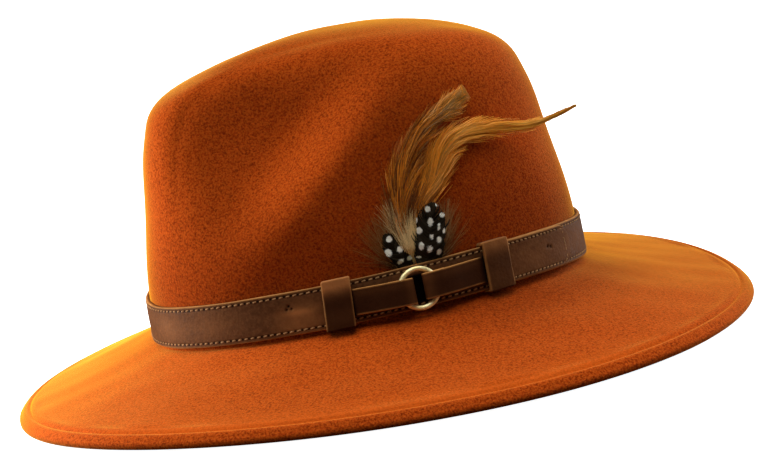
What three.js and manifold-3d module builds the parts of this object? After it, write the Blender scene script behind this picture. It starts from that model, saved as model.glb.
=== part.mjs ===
// A felt hat with a leather band, a brass ring and a bunch of feathers. Millimetres, +Z up.
// The front of the hat is at -X and the ring at -Y. The brim rests on z = 0.
// Angles go round the crown from the front (0), by the ring's side (90), to the back (180).
import * as THREE from "three";
import { mergeVertices } from "three/addons/utils/BufferGeometryUtils.js";
import Module from "manifold-3d";

const manifold = await Module();
manifold.setup();

// Driving dimensions of the felt
const crownBase = { halfLength: 104.3, halfWidth: 83.8, power: 2.1 };
const brimEdge = { halfLength: 178.7, halfWidth: 159.1, power: 2.08, back: 2.9, egg: 0.02 };
const feltWall = 2.2;
const brimWall = 2.8;
const rimThickness = 3.8;
const rimRollDown = 1.8;
const brimBow = -1.6;
const brimBelowBand = 1.6;
const crownLean = -0.4;
const angleSteps = 64;

// Driving dimensions of the leather band, measured out from the strap's inner face
const clearance = 0.3;
const feltToStrap = { atEnds: 0.3, atSides: 2 };
const strap = { height: 19, thickness: 2.2 };
const strapTip = { thickness: 1.4, from: 117, to: 144, edge: 0.2, stations: 10 };
const keepers = [
  { name: "keeper_front", angle: 75.5 },
  { name: "keeper_rear", angle: 116 },
];
const keeper = { width: 12.6, front: 1.7, back: 0.7, above: 1.6, below: 1, room: 4.1, round: 0.8 };
const tab = { thickness: 1.2, low: 3.4, high: 14.9, foldGap: 5.2, frontLayer: 7.4, hidden: 8 };
const ringTabs = [
  { name: "tab_front", side: -1, keeper: keepers[0], droop: 1.2 },
  { name: "tab_rear", side: 1, keeper: keepers[1], droop: 0.4 },
];
const brassRing = { angle: 95, rise: 8.6, radius: 8.75, wire: 2.2, out: 5.05 };

// Height of the brim's edge and of the band's lower edge round the hat.
// Each row adds cosine and sine of a whole number of waves per turn, from the front.
const edgeWaves = [
  { waves: 0, cosine: 3.8, sine: 0 },
  { waves: 1, cosine: -0.37, sine: -0.2 },
  { waves: 2, cosine: -1.48, sine: 3.14 },
  { waves: 3, cosine: 0.28, sine: 0 },
  { waves: 4, cosine: -0.54, sine: 0 },
];
const bandWaves = [
  { waves: 0, cosine: 31.4, sine: 0 },
  { waves: 1, cosine: -1.54, sine: -0.35 },
  { waves: 2, cosine: -3.13, sine: 0 },
  { waves: 3, cosine: 0.49, sine: 0 },
  { waves: 4, cosine: -0.51, sine: 0 },
];

// Rows across the brim: distance in from the edge, and lift above an even slope
const brimRows = [
  { inset: 70, lift: 0.3 },
  { inset: 60, lift: 0 },
  { inset: 46, lift: 0 },
  { inset: 32, lift: 0 },
  { inset: 19, lift: 0 },
  { inset: 9.5, lift: 0 },
  { inset: 6.0, lift: -0.75 },
  { inset: 3.6, lift: -0.8 },
  { inset: 1.2, lift: -1.9 },
];

// The rim's outer face and underside; lowest is the least height a row may have
const rimRows = [
  { inset: 0, lift: 1.9, lowest: 0.9 },
  { inset: 1.3, lift: 0, lowest: 0 },
  { inset: 6.2, lift: 0.3, lowest: 0 },
];

// Rows up the crown from foldRise above the band's lower edge: share of the height left to
// the crest, half sizes and roundness of the oval
const foldRise = 24;
const crownRows = [
  { share: 0, halfLength: 103.6, halfWidth: 79.1, power: 2.1 },
  { share: 0.19, halfLength: 101.7, halfWidth: 77.0, power: 2.15 },
  { share: 0.33, halfLength: 99.7, halfWidth: 75.0, power: 2.18 },
  { share: 0.47, halfLength: 97.7, halfWidth: 73.0, power: 2.2 },
  { share: 0.59, halfLength: 96.1, halfWidth: 71.0, power: 2.22 },
  { share: 0.7, halfLength: 94.5, halfWidth: 68.6, power: 2.25 },
  { share: 0.79, halfLength: 92.6, halfWidth: 65.6, power: 2.28 },
  { share: 0.87, halfLength: 90.3, halfWidth: 61.6, power: 2.3 },
  { share: 0.94, halfLength: 87.6, halfWidth: 55.9, power: 2.3 },
  { share: 0.98, halfLength: 83.4, halfWidth: 50.3, power: 2.3 },
  { share: 1, halfLength: 78.3, halfWidth: 45.0, power: 2.3 },
];

// Rows up to the middle of the rounded top: share of the crest's plan, share of the rise
const topRise = 4.6;
const topRows = [
  { share: 0.87, part: 0.26 },
  { share: 0.72, part: 0.51 },
  { share: 0.55, part: 0.72 },
  { share: 0.36, part: 0.885 },
  { share: 0.16, part: 0.977 },
];

// The crest round the top: highest point and how it falls to the front and the back
const crest = { top: 151.2, highAt: 6.2 };
const crestFall = {
  front: { square: 15.2, fourth: 3 },
  back: { square: 14.1, fourth: 16.4 },
};

// The pinch on each side of the front; sharp is how crisply its lower edge ends
const pinch = {
  x: -38, z: 124, depth: 28, slant: 40, reach: 45, rise: 41, fall: 23, sharp: 4,
};

// Feathers lie on the crown's side: angle round the crown, rise above the band's lower edge,
// distance out from the felt and half width of the vane
const featherThickness = 0.5;
const guineaFront = [
  { angle: 94.1, rise: 12, out: 1.45, half: 1.6 },
  { angle: 93.8, rise: 17, out: 1.45, half: 2.4 },
  { angle: 93.3, rise: 20.4, out: 1.5, half: 3.2 },
  { angle: 92.6, rise: 24, out: 3.1, half: 4 },
  { angle: 91.6, rise: 27.5, out: 3.4, half: 4.4 },
  { angle: 90.7, rise: 31, out: 3.2, half: 4.2 },
  { angle: 90, rise: 33.6, out: 3.15, half: 2.8 },
  { angle: 89.6, rise: 35, out: 3.15, half: 0.8 },
];
const guineaRear = [
  { angle: 97.8, rise: 12, out: 1.45, half: 2.8 },
  { angle: 98.3, rise: 17, out: 1.45, half: 4.6 },
  { angle: 99, rise: 20.4, out: 1.5, half: 5.9 },
  { angle: 99.4, rise: 24, out: 3.2, half: 6.3 },
  { angle: 100.2, rise: 29, out: 3.4, half: 6.5 },
  { angle: 101, rise: 34, out: 3.4, half: 6.6 },
  { angle: 101.7, rise: 39, out: 3.2, half: 6 },
  { angle: 102.4, rise: 42.4, out: 3.15, half: 3.6 },
  { angle: 102.7, rise: 43.8, out: 3.15, half: 0.8 },
];
const hackleUpright = [
  { angle: 94.6, rise: 12, out: 0.6, half: 0.5 },
  { angle: 94.6, rise: 20.4, out: 0.65, half: 0.7 },
  { angle: 94.5, rise: 24, out: 2.3, half: 1.5 },
  { angle: 94.2, rise: 28, out: 2.35, half: 3 },
  { angle: 94, rise: 37, out: 2.35, half: 4.9 },
  { angle: 95, rise: 45, out: 2.4, half: 5.9 },
  { angle: 96.5, rise: 54, out: 2.5, half: 6 },
  { angle: 99.5, rise: 65, out: 2.7, half: 5.2 },
  { angle: 104, rise: 74, out: 2.8, half: 3.8 },
  { angle: 110, rise: 80, out: 2.8, half: 3.4 },
  { angle: 117.5, rise: 85.5, out: 2.8, half: 2.6 },
  { angle: 120, rise: 87, out: 2.8, half: 0.8 },
];
const hackleSwept = [
  { angle: 96.2, rise: 12, out: 0.6, half: 0.5 },
  { angle: 96.2, rise: 20.4, out: 0.62, half: 0.6 },
  { angle: 96.2, rise: 24, out: 1.4, half: 1.1 },
  { angle: 96.5, rise: 31, out: 1.45, half: 2.6 },
  { angle: 99.5, rise: 43, out: 1.45, half: 5 },
  { angle: 106, rise: 56, out: 1.55, half: 5.9 },
  { angle: 109, rise: 63, out: 1.6, half: 5.6 },
  { angle: 113, rise: 68, out: 1.8, half: 4.8 },
  { angle: 122, rise: 69.5, out: 3, half: 3.9 },
  { angle: 127, rise: 69, out: 4.8, half: 3 },
  { angle: 132, rise: 67.5, out: 8.6, half: 2.2 },
  { angle: 136.5, rise: 69, out: 17, half: 1 },
  { angle: 141.5, rise: 73, out: 28, half: 0.3 },
];
// Locks of fluff, fused where they cross above the band
const downLocks = [
  [
    { angle: 92, rise: 14, out: 0.6, half: 1 },
    { angle: 91.6, rise: 20, out: 0.6, half: 1.8 },
    { angle: 90.8, rise: 26, out: 0.6, half: 3.2 },
    { angle: 89.6, rise: 33, out: 0.6, half: 4.2 },
    { angle: 88.6, rise: 41, out: 0.6, half: 3.6 },
    { angle: 89, rise: 48, out: 0.6, half: 0.8 },
  ],
  [
    { angle: 95.9, rise: 25.6, out: 0.6, half: 8.8 },
    { angle: 95.8, rise: 31, out: 0.6, half: 6.4 },
    { angle: 95.9, rise: 38, out: 0.6, half: 5.4 },
    { angle: 96.3, rise: 46, out: 0.6, half: 3.4 },
    { angle: 97, rise: 52, out: 0.6, half: 0.8 },
  ],
  [
    { angle: 100.4, rise: 14, out: 0.6, half: 1 },
    { angle: 101, rise: 20, out: 0.6, half: 1.8 },
    { angle: 102.4, rise: 26, out: 0.6, half: 4.2 },
    { angle: 106, rise: 32.5, out: 0.6, half: 3.8 },
    { angle: 108, rise: 38.5, out: 0.6, half: 2.8 },
    { angle: 108.6, rise: 45, out: 0.6, half: 0.8 },
  ],
];
const downThickness = 0.5;

const turn = 2 * Math.PI;
const radians = (degrees) => (degrees * Math.PI) / 180;
const mix = (a, b, t) => a + (b - a) * t;
const vector = (point) => new THREE.Vector3(...point);

function waveHeight(rows, angle) {
  let height = 0;
  for (const row of rows) {
    height += row.cosine * Math.cos(row.waves * angle) + row.sine * Math.sin(row.waves * angle);
  }
  return height;
}

// A superellipse in plan
function ovalPoint(halfLength, halfWidth, power, angle) {
  const c = Math.cos(angle);
  const s = Math.sin(angle);
  const reach = (Math.abs(c) ** power + Math.abs(s) ** power) ** (-1 / power);
  return [-halfLength * reach * c, -halfWidth * reach * s];
}

function crestHeight(x) {
  const away = (x - crest.highAt) / 100;
  const fall = away < 0 ? crestFall.front : crestFall.back;
  return crest.top - fall.square * away ** 2 - fall.fourth * away ** 4;
}

// How far the fingers press the crown's side in at a place on it
function pinchPush(x, y, z) {
  const slant = radians(pinch.slant);
  const dx = x - pinch.x;
  const dz = z - pinch.z;
  const along = dx * Math.cos(slant) + dz * Math.sin(slant);
  const across = dz * Math.cos(slant) - dx * Math.sin(slant);
  const away = across > 0
    ? (across / pinch.rise) ** 2
    : Math.abs(across / pinch.fall) ** pinch.sharp;
  const strength = Math.exp(-((along / pinch.reach) ** 2) - away);
  return pinch.depth * strength * Math.min(1, Math.abs(y) / 40);
}

function pressed(x, y, z) {
  return [x, y - Math.sign(y) * pinchPush(x, y, z), z];
}

function crownPoint(row, angle) {
  const [ovalX, y] = ovalPoint(row.halfLength, row.halfWidth, row.power, angle);
  const x = ovalX + crownLean * row.share;
  const low = waveHeight(bandWaves, angle) + foldRise;
  return pressed(x, y, mix(low, crestHeight(x), row.share));
}

function topPoint(row, angle) {
  const last = crownRows[crownRows.length - 1];
  const [ovalX, y] = ovalPoint(last.halfLength, last.halfWidth, last.power, angle);
  const x = (ovalX + crownLean) * row.share;
  const [px, py] = pressed(x, y * row.share, crestHeight(x));
  return [px, py, crestHeight(x) + topRise * row.part];
}

function basePoint(angle) {
  const [x, y] = ovalPoint(crownBase.halfLength, crownBase.halfWidth, crownBase.power, angle);
  return [x, y, waveHeight(bandWaves, angle) - brimBelowBand];
}

function edgePoint(angle, inset) {
  const [x, y] = ovalPoint(brimEdge.halfLength, brimEdge.halfWidth, brimEdge.power, angle);
  const ex = brimEdge.back + x;
  const ey = y * (1 - brimEdge.egg * Math.cos(angle));
  const [bx, by] = basePoint(angle);
  const width = Math.hypot(ex - bx, ey - by);
  const t = 1 - inset / width;
  return { x: mix(bx, ex, t), y: mix(by, ey, t), t };
}

function brimPoint(row, angle) {
  const { x, y, t } = edgePoint(angle, row.inset);
  const high = basePoint(angle)[2];
  const low = waveHeight(edgeWaves, angle) + rimThickness / 2 + rimRollDown;
  return [x, y, mix(high, low, t) + 4 * brimBow * t * (1 - t) + row.lift];
}

// Where the wave reaches lowest, the rim's underside lies flat on z = 0
function rimPoint(row, angle) {
  const { x, y } = edgePoint(angle, row.inset);
  const low = waveHeight(edgeWaves, angle) - rimThickness / 2;
  return [x, y, Math.max(row.lowest, low + row.lift)];
}

function ringOf(pointAt) {
  const points = [];
  for (let k = 0; k < angleSteps; k += 1) {
    points.push(pointAt((turn * k) / angleSteps));
  }
  return points;
}

// Rings that lie one wall thickness inside the given rings
function innerRings(rings, thickness) {
  const inner = [];
  for (let i = 1; i < rings.length - 1; i += 1) {
    const points = [];
    for (let k = 0; k < angleSteps; k += 1) {
      const next = (k + 1) % angleSteps;
      const last = (k + angleSteps - 1) % angleSteps;
      const down = vector(rings[i + 1][k]).sub(vector(rings[i - 1][k]));
      const round = vector(rings[i][next]).sub(vector(rings[i][last]));
      const inward = round.cross(down).normalize();
      points.push(vector(rings[i][k]).addScaledVector(inward, thickness(i)).toArray());
    }
    inner.push(points);
  }
  return inner;
}

// A closed body from points and triangles, turned so that its faces point out
function bodyFrom(points, triangles) {
  let volume = 0;
  for (const [a, b, c] of triangles) {
    volume += vector(points[a]).dot(vector(points[b]).cross(vector(points[c])));
  }
  const outward = volume < 0 ? triangles.map(([a, b, c]) => [a, c, b]) : triangles;
  const geometry = new THREE.BufferGeometry();
  geometry.setAttribute("position", new THREE.Float32BufferAttribute(points.flat(), 3));
  geometry.setIndex(outward.flat());
  geometry.computeVertexNormals();
  return geometry;
}

// Triangles between two rows of the same number of points, each row closed on itself
function bridge(triangles, first, second, count) {
  for (let k = 0; k < count; k += 1) {
    const next = (k + 1) % count;
    triangles.push([first + k, first + next, second + next], [first + k, second + next, second + k]);
  }
}

// A body lofted through sections of the same number of points, with flat ends
function lofted(sections) {
  const count = sections[0].length;
  const triangles = [];
  for (let i = 0; i + 1 < sections.length; i += 1) {
    bridge(triangles, i * count, (i + 1) * count, count);
  }
  const end = (sections.length - 1) * count;
  for (let k = 1; k + 1 < count; k += 1) {
    triangles.push([0, k + 1, k], [end, end + k, end + k + 1]);
  }
  return bodyFrom(sections.flat(), triangles);
}

// A body between two closed outlines that run beside each other, such as a thick hoop:
// each station holds an outer and an inner outline
function hooped(stations) {
  const count = stations[0].outer.length;
  const points = stations.flatMap((station) => [...station.outer, ...station.inner]);
  const triangles = [];
  for (let i = 0; i + 1 < stations.length; i += 1) {
    const here = i * 2 * count;
    const next = here + 2 * count;
    bridge(triangles, here, next, count);
    bridge(triangles, next + count, here + count, count);
  }
  bridge(triangles, count, 0, count);
  const end = (stations.length - 1) * 2 * count;
  bridge(triangles, end, end + count, count);
  return bodyFrom(points, triangles);
}

function feltBody() {
  const outer = [];
  for (const row of [...topRows].reverse()) {
    outer.push(ringOf((angle) => topPoint(row, angle)));
  }
  for (const row of [...crownRows].reverse()) {
    outer.push(ringOf((angle) => crownPoint(row, angle)));
  }
  outer.push(ringOf(basePoint));
  for (const row of brimRows) {
    outer.push(ringOf((angle) => brimPoint(row, angle)));
  }
  const rim = rimRows.map((row) => ringOf((angle) => rimPoint(row, angle)));
  const crownRings = topRows.length + crownRows.length;
  const inner = innerRings(outer, (i) => (i < crownRings ? feltWall : brimWall));
  const kept = inner.slice(0, inner.length - 3).reverse();
  const apex = [crownLean * topRows[topRows.length - 1].share, 0, crestHeight(0) + topRise];
  const rings = [...outer, ...rim, ...kept];
  const points = [...rings.flat(), apex, [apex[0], apex[1], apex[2] - feltWall]];
  const triangles = [];
  for (let i = 0; i + 1 < rings.length; i += 1) {
    bridge(triangles, i * angleSteps, (i + 1) * angleSteps, angleSteps);
  }
  const lastRing = (rings.length - 1) * angleSteps;
  const outerApex = rings.length * angleSteps;
  for (let k = 0; k < angleSteps; k += 1) {
    const next = (k + 1) % angleSteps;
    triangles.push([outerApex, next, k], [outerApex + 1, lastRing + k, lastRing + next]);
  }
  return bodyFrom(points, triangles);
}

// The strap's inner face: rise above its lower edge
function strapInner(angle, rise) {
  const t = (rise + brimBelowBand) / (foldRise + brimBelowBand);
  const fold = crownRows[0];
  const halfLength = mix(crownBase.halfLength, fold.halfLength, t) + feltToStrap.atEnds;
  const halfWidth = mix(crownBase.halfWidth, fold.halfWidth, t) + feltToStrap.atSides;
  const [x, y] = ovalPoint(halfLength, halfWidth, crownBase.power, angle);
  return new THREE.Vector3(x, y, waveHeight(bandWaves, angle) + rise);
}

// Outward direction, direction round the band and direction up it, at a place on the strap
function bandFrame(angle, rise) {
  const step = 0.01;
  const round = strapInner(angle + step, rise).sub(strapInner(angle - step, rise)).normalize();
  const up = strapInner(angle, rise + 1).sub(strapInner(angle, rise - 1)).normalize();
  const out = round.clone().cross(up).normalize();
  return { round, up: out.clone().cross(round), out };
}

function bandPoint(angle, rise, out) {
  return strapInner(angle, rise).addScaledVector(bandFrame(angle, rise).out, out).toArray();
}

function bandStrap() {
  const corners = [[0, 0], [strap.height, 0], [strap.height, strap.thickness], [0, strap.thickness]];
  const sections = ringOf((angle) => corners.map(([rise, out]) => bandPoint(angle, rise, out)));
  const triangles = [];
  for (let k = 0; k < angleSteps; k += 1) {
    bridge(triangles, k * corners.length, ((k + 1) % angleSteps) * corners.length, corners.length);
  }
  return bodyFrom(sections.flat(), triangles);
}

// Degrees round the band for one millimetre at the given angle
function degreesPerMillimetre(degrees) {
  const reach = strapInner(radians(degrees + 1), 10).distanceTo(strapInner(radians(degrees), 10));
  return 1 / reach;
}

// The overlapped end of the strap, whose tip is a half round
function strapEnd() {
  const radius = strap.height / 2 - strapTip.edge;
  const middle = strap.height / 2;
  const roundFrom = strapTip.to - radius * degreesPerMillimetre(strapTip.to);
  const low = strap.thickness + clearance;
  const high = low + strapTip.thickness;
  const sections = [];
  for (let k = 0; k <= strapTip.stations; k += 1) {
    const body = k / strapTip.stations;
    sections.push({ degrees: mix(strapTip.from, roundFrom, body), half: radius });
  }
  const tipSteps = 5;
  for (let k = 1; k <= tipSteps; k += 1) {
    const swing = radians((84 * k) / tipSteps);
    const degrees = roundFrom + (strapTip.to - roundFrom) * Math.sin(swing);
    sections.push({ degrees, half: radius * Math.cos(swing) });
  }
  return lofted(sections.map(({ degrees, half }) => {
    const angle = radians(degrees);
    return [
      bandPoint(angle, middle - half, low),
      bandPoint(angle, middle + half, low),
      bandPoint(angle, middle + half, high),
      bandPoint(angle, middle - half, high),
    ];
  }));
}

// A loop of leather round the strap, seen along the band as an inner and an outer outline
function keeperLoop(degrees) {
  const low = -clearance;
  const high = strap.height + clearance;
  const front = keeper.room + keeper.front;
  const inner = [
    [low, -clearance], [high, -clearance], [high, keeper.room - 0.2],
    [high - 0.3, keeper.room], [0, keeper.room], [low, keeper.room - 0.2],
  ];
  const outer = [
    [low - keeper.below, -clearance - keeper.back], [high + keeper.above, -clearance - keeper.back],
    [high + keeper.above, front - keeper.round], [high + keeper.above - keeper.round, front],
    [low, front], [low - keeper.below, front - keeper.round],
  ];
  const half = (keeper.width / 2) * degreesPerMillimetre(degrees);
  const stations = [-half, 0, half].map((offset) => {
    const angle = radians(degrees + offset);
    return {
      outer: outer.map(([rise, out]) => bandPoint(angle, rise, out)),
      inner: inner.map(([rise, out]) => bandPoint(angle, rise, out)),
    };
  });
  return hooped(stations);
}

// A narrow strap that comes out of a keeper, passes over the ring's wire and folds back
// under it. side is -1 towards the front of the hat and 1 towards the back, and droop is how
// much lower it lies at the ring.
function ringTab({ side, keeper: from, droop }) {
  const perMillimetre = degreesPerMillimetre(brassRing.angle);
  const keeperAway = Math.abs(from.angle - brassRing.angle) / perMillimetre;
  const backLayer = strap.thickness + clearance + tab.thickness / 2;
  const foldRadius = (tab.frontLayer - backLayer) / 2;
  const foldMiddle = tab.foldGap / 2 + foldRadius;
  const exit = keeperAway - keeper.width / 2;
  const path = [
    [keeperAway - 1, backLayer],
    [exit, backLayer],
    [mix(exit, foldMiddle, 0.3), mix(backLayer, tab.frontLayer, 0.3)],
    [mix(exit, foldMiddle, 0.6), mix(backLayer, tab.frontLayer, 0.78)],
    [mix(exit, foldMiddle, 0.78), tab.frontLayer],
  ];
  const foldSteps = 6;
  for (let k = 0; k <= foldSteps; k += 1) {
    const swing = (Math.PI * k) / foldSteps;
    const away = foldMiddle - foldRadius * Math.sin(swing);
    path.push([away, (tab.frontLayer + backLayer) / 2 + foldRadius * Math.cos(swing)]);
  }
  path.push([foldMiddle + tab.hidden, backLayer]);
  const sections = path.map((point, i) => {
    const before = path[Math.max(0, i - 1)];
    const after = path[Math.min(path.length - 1, i + 1)];
    const length = Math.hypot(after[0] - before[0], after[1] - before[1]);
    const across = [(after[1] - before[1]) / length, -(after[0] - before[0]) / length];
    const corner = (rise, sign) => {
      const away = point[0] + (sign * across[0] * tab.thickness) / 2;
      const out = point[1] + (sign * across[1] * tab.thickness) / 2;
      const lower = droop * Math.max(0, 1 - point[0] / exit);
      const angle = radians(brassRing.angle + side * away * perMillimetre);
      return bandPoint(angle, rise - lower, out);
    };
    return [corner(tab.low, -1), corner(tab.high, -1), corner(tab.high, 1), corner(tab.low, 1)];
  });
  return lofted(sections);
}

function brassRingMesh(material) {
  const geometry = new THREE.TorusGeometry(brassRing.radius, brassRing.wire / 2, 8, 32);
  const mesh = new THREE.Mesh(geometry, material);
  mesh.name = "ring";
  const angle = radians(brassRing.angle);
  const { round, up, out } = bandFrame(angle, brassRing.rise);
  mesh.quaternion.setFromRotationMatrix(new THREE.Matrix4().makeBasis(round, up, out));
  mesh.position.set(...bandPoint(angle, brassRing.rise, brassRing.out));
  return mesh;
}

// A place on the crown's side above the band, at a distance out from the felt
function sidePoint(degrees, rise, out) {
  const angle = radians(degrees);
  if (rise <= foldRise) {
    const t = (rise + brimBelowBand) / (foldRise + brimBelowBand);
    const fold = crownRows[0];
    const [x, y] = ovalPoint(
      mix(crownBase.halfLength, fold.halfLength, t) + out,
      mix(crownBase.halfWidth, fold.halfWidth, t) + out,
      crownBase.power,
      angle,
    );
    return new THREE.Vector3(x, y, waveHeight(bandWaves, angle) + rise);
  }
  const low = waveHeight(bandWaves, angle) + foldRise;
  let share = 0.5;
  let point = [0, 0, 0];
  for (let turnsLeft = 6; turnsLeft > 0; turnsLeft -= 1) {
    const next = crownRows.findIndex((row) => row.share >= share);
    const upper = crownRows[Math.max(1, next)];
    const lower = crownRows[Math.max(1, next) - 1];
    const t = (share - lower.share) / (upper.share - lower.share);
    const row = {
      share,
      halfLength: mix(lower.halfLength, upper.halfLength, t) + out,
      halfWidth: mix(lower.halfWidth, upper.halfWidth, t) + out,
      power: mix(lower.power, upper.power, t),
    };
    point = crownPoint(row, angle);
    share = Math.min(1, (rise - foldRise) / (crestHeight(point[0]) - low));
  }
  return vector(point);
}

// A vane: a thin blade with a lens-shaped section that follows its rows
function vane(rows, thickness, steps) {
  const middle = rows.map((row) => sidePoint(row.angle, row.rise, row.out));
  const spine = new THREE.CatmullRomCurve3(middle, false, "centripetal");
  const sections = [];
  for (let k = 0; k <= steps; k += 1) {
    const t = k / steps;
    const at = t * (rows.length - 1);
    const i = Math.min(rows.length - 2, Math.floor(at));
    const half = mix(rows[i].half, rows[i + 1].half, at - i);
    const degrees = mix(rows[i].angle, rows[i + 1].angle, at - i);
    const rise = mix(rows[i].rise, rows[i + 1].rise, at - i);
    const round = sidePoint(degrees + 1, rise, 0).sub(sidePoint(degrees - 1, rise, 0));
    const up = sidePoint(degrees, rise + 2, 0).sub(sidePoint(degrees, rise - 2, 0));
    const out = round.cross(up).normalize();
    const along = spine.getTangent(t);
    const across = along.clone().cross(out).normalize();
    const thick = across.clone().cross(along).normalize();
    const centre = spine.getPoint(t);
    const corner = (side, lift) => centre.clone()
      .addScaledVector(across, side * half)
      .addScaledVector(thick, (lift * thickness) / 2)
      .toArray();
    sections.push([
      corner(-1, -0.3), corner(0, -1), corner(1, -0.3), corner(1, 0.3), corner(0, 1), corner(-1, 0.3),
    ]);
  }
  return lofted(sections);
}

function solidOf(geometry) {
  const bare = geometry.clone();
  bare.deleteAttribute("normal");
  const merged = mergeVertices(bare, 1e-4);
  const vertProperties = new Float32Array(merged.attributes.position.array);
  const triVerts = new Uint32Array(merged.index.array);
  return new manifold.Manifold(new manifold.Mesh({ numProp: 3, vertProperties, triVerts }));
}

function fused(geometries) {
  const whole = geometries.map(solidOf).reduce((sum, solid) => sum.add(solid)).getMesh();
  const geometry = new THREE.BufferGeometry();
  geometry.setAttribute("position", new THREE.BufferAttribute(whole.vertProperties, 3));
  geometry.setIndex(new THREE.BufferAttribute(whole.triVerts, 1));
  geometry.computeVertexNormals();
  return geometry;
}

const felt = new THREE.MeshStandardMaterial({ color: "#b8501a", roughness: 0.95, metalness: 0 });
const leather = new THREE.MeshStandardMaterial({ color: "#4a3020", roughness: 0.6, metalness: 0 });
const brass = new THREE.MeshStandardMaterial({ color: "#c9a24a", roughness: 0.25, metalness: 1 });
const spotted = new THREE.MeshStandardMaterial({ color: "#17140f", roughness: 0.7, metalness: 0 });
const golden = new THREE.MeshStandardMaterial({ color: "#a8702a", roughness: 0.6, metalness: 0 });
const fluff = new THREE.MeshStandardMaterial({ color: "#6a4a2c", roughness: 0.9, metalness: 0 });

function named(name, geometry, material) {
  const mesh = new THREE.Mesh(geometry, material);
  mesh.name = name;
  return mesh;
}

// The middle of the brim stands on the origin
const hat = new THREE.Group();
hat.position.x = -brimEdge.back;
hat.add(named("felt_body", feltBody(), felt));
hat.add(named("band_strap", bandStrap(), leather));
hat.add(named("strap_end", strapEnd(), leather));
for (const { name, angle } of keepers) {
  hat.add(named(name, keeperLoop(angle), leather));
}
for (const row of ringTabs) {
  hat.add(named(row.name, ringTab(row), leather));
}
hat.add(brassRingMesh(brass));
hat.add(named("guinea_feather_front", vane(guineaFront, featherThickness, 14), spotted));
hat.add(named("guinea_feather_rear", vane(guineaRear, featherThickness, 16), spotted));
hat.add(named("hackle_upright", vane(hackleUpright, featherThickness, 28), golden));
hat.add(named("hackle_swept", vane(hackleSwept, featherThickness, 30), golden));
hat.add(named("feather_down", fused(downLocks.map((rows) => vane(rows, downThickness, 8))), fluff));

export default hat;
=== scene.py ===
import bpy
import math
import numpy as np
from mathutils import Matrix, Vector


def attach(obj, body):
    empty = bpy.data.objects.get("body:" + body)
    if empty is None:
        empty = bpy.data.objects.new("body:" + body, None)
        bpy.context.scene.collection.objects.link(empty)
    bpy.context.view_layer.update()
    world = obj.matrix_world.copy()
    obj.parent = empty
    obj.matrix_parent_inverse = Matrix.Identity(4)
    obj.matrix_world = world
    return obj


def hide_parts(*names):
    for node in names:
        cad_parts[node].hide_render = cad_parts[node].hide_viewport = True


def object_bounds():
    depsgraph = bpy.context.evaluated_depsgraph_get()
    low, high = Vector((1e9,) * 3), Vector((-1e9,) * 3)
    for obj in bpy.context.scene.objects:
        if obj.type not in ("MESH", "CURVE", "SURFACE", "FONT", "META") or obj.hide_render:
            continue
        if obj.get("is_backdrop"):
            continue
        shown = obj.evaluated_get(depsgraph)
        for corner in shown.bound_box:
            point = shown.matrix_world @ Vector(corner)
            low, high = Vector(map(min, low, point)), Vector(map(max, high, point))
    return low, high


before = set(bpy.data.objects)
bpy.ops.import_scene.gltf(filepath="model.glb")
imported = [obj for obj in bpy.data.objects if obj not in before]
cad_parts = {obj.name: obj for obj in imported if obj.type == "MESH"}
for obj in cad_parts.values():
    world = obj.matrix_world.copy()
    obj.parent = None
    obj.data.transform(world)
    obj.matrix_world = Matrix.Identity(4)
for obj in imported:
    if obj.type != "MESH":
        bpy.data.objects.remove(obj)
cadLow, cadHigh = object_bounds()
print("frame loaded with", len(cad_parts), "pieces")

# Shapes are worked out in millimetres round the middle of the crown, which stands
# crownForward in front of the brim's middle. Angles go round from the front of the hat (0),
# by the side with the ring (90), to the back (180).
hat = {
    "crownForward": 2.9,
    "base": (104.3, 83.8, 2.1),
    "brimEdge": (178.7, 159.1, 2.08),
    "brimEgg": 0.02,
    "crownWall": 2.2,
    "brimWall": 2.8,
    "rimThickness": 3.8,
    "rimRollDown": 1.8,
    "brimBow": -1.6,
    "brimBelowBand": 1.6,
    "crownLean": -0.4,
    "foldRise": 24,
    "topRise": 4.6,
    "aroundSteps": 400,
    "crownStep": 2.6,
    "brimStep": 3.2,
    "rimSteps": 44,
    "waviness": 0.22,
    "waveLength": 34,
}
# waves per turn, cosine, sine
edgeWaves = [(0, 3.8, 0), (1, -0.37, -0.2), (2, -1.48, 3.14), (3, 0.28, 0), (4, -0.54, 0)]
bandWaves = [(0, 31.4, 0), (1, -1.54, -0.35), (2, -3.13, 0), (3, 0.49, 0), (4, -0.51, 0)]
# share of the height left to the crest, half length, half width, roundness
crownRows = np.array([
    (0, 103.6, 79.1, 2.1), (0.19, 101.7, 77.0, 2.15), (0.33, 99.7, 75.0, 2.18),
    (0.47, 97.7, 73.0, 2.2), (0.59, 96.1, 71.0, 2.22), (0.7, 94.5, 68.6, 2.25),
    (0.79, 92.6, 65.6, 2.28), (0.87, 90.3, 61.6, 2.3), (0.94, 87.6, 55.9, 2.3),
    (0.98, 83.4, 50.3, 2.3), (1, 78.3, 45.0, 2.3),
])
# share of the crest's plan, share of the rise to the middle of the top
topRows = [(0.87, 0.26), (0.72, 0.51), (0.55, 0.72), (0.36, 0.885), (0.16, 0.977)]
crest = {"top": 151.2, "highAt": 6.2, "front": (15.2, 3), "back": (14.1, 16.4)}
pinch = {"x": -38, "z": 124, "depth": 28, "slant": 40, "reach": 45, "rise": 41, "fall": 23, "sharp": 4}
# distance in from the brim's edge, lift: the brim out to its groove
brimRows = [(70, 0.3), (60, 0), (46, 0), (32, 0), (19, 0), (9.5, 0)]
# the same for the turned and pressed rim, its groove first
rimTopRows = [
    (9.5, 0), (7.9, -0.02), (6.7, -0.35), (6.0, -0.85), (5.6, -1.0), (5.2, -0.85), (4.6, -0.5),
    (3.8, -0.42), (2.9, -0.65), (2.0, -1.15), (1.2, -1.85),
]
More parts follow.
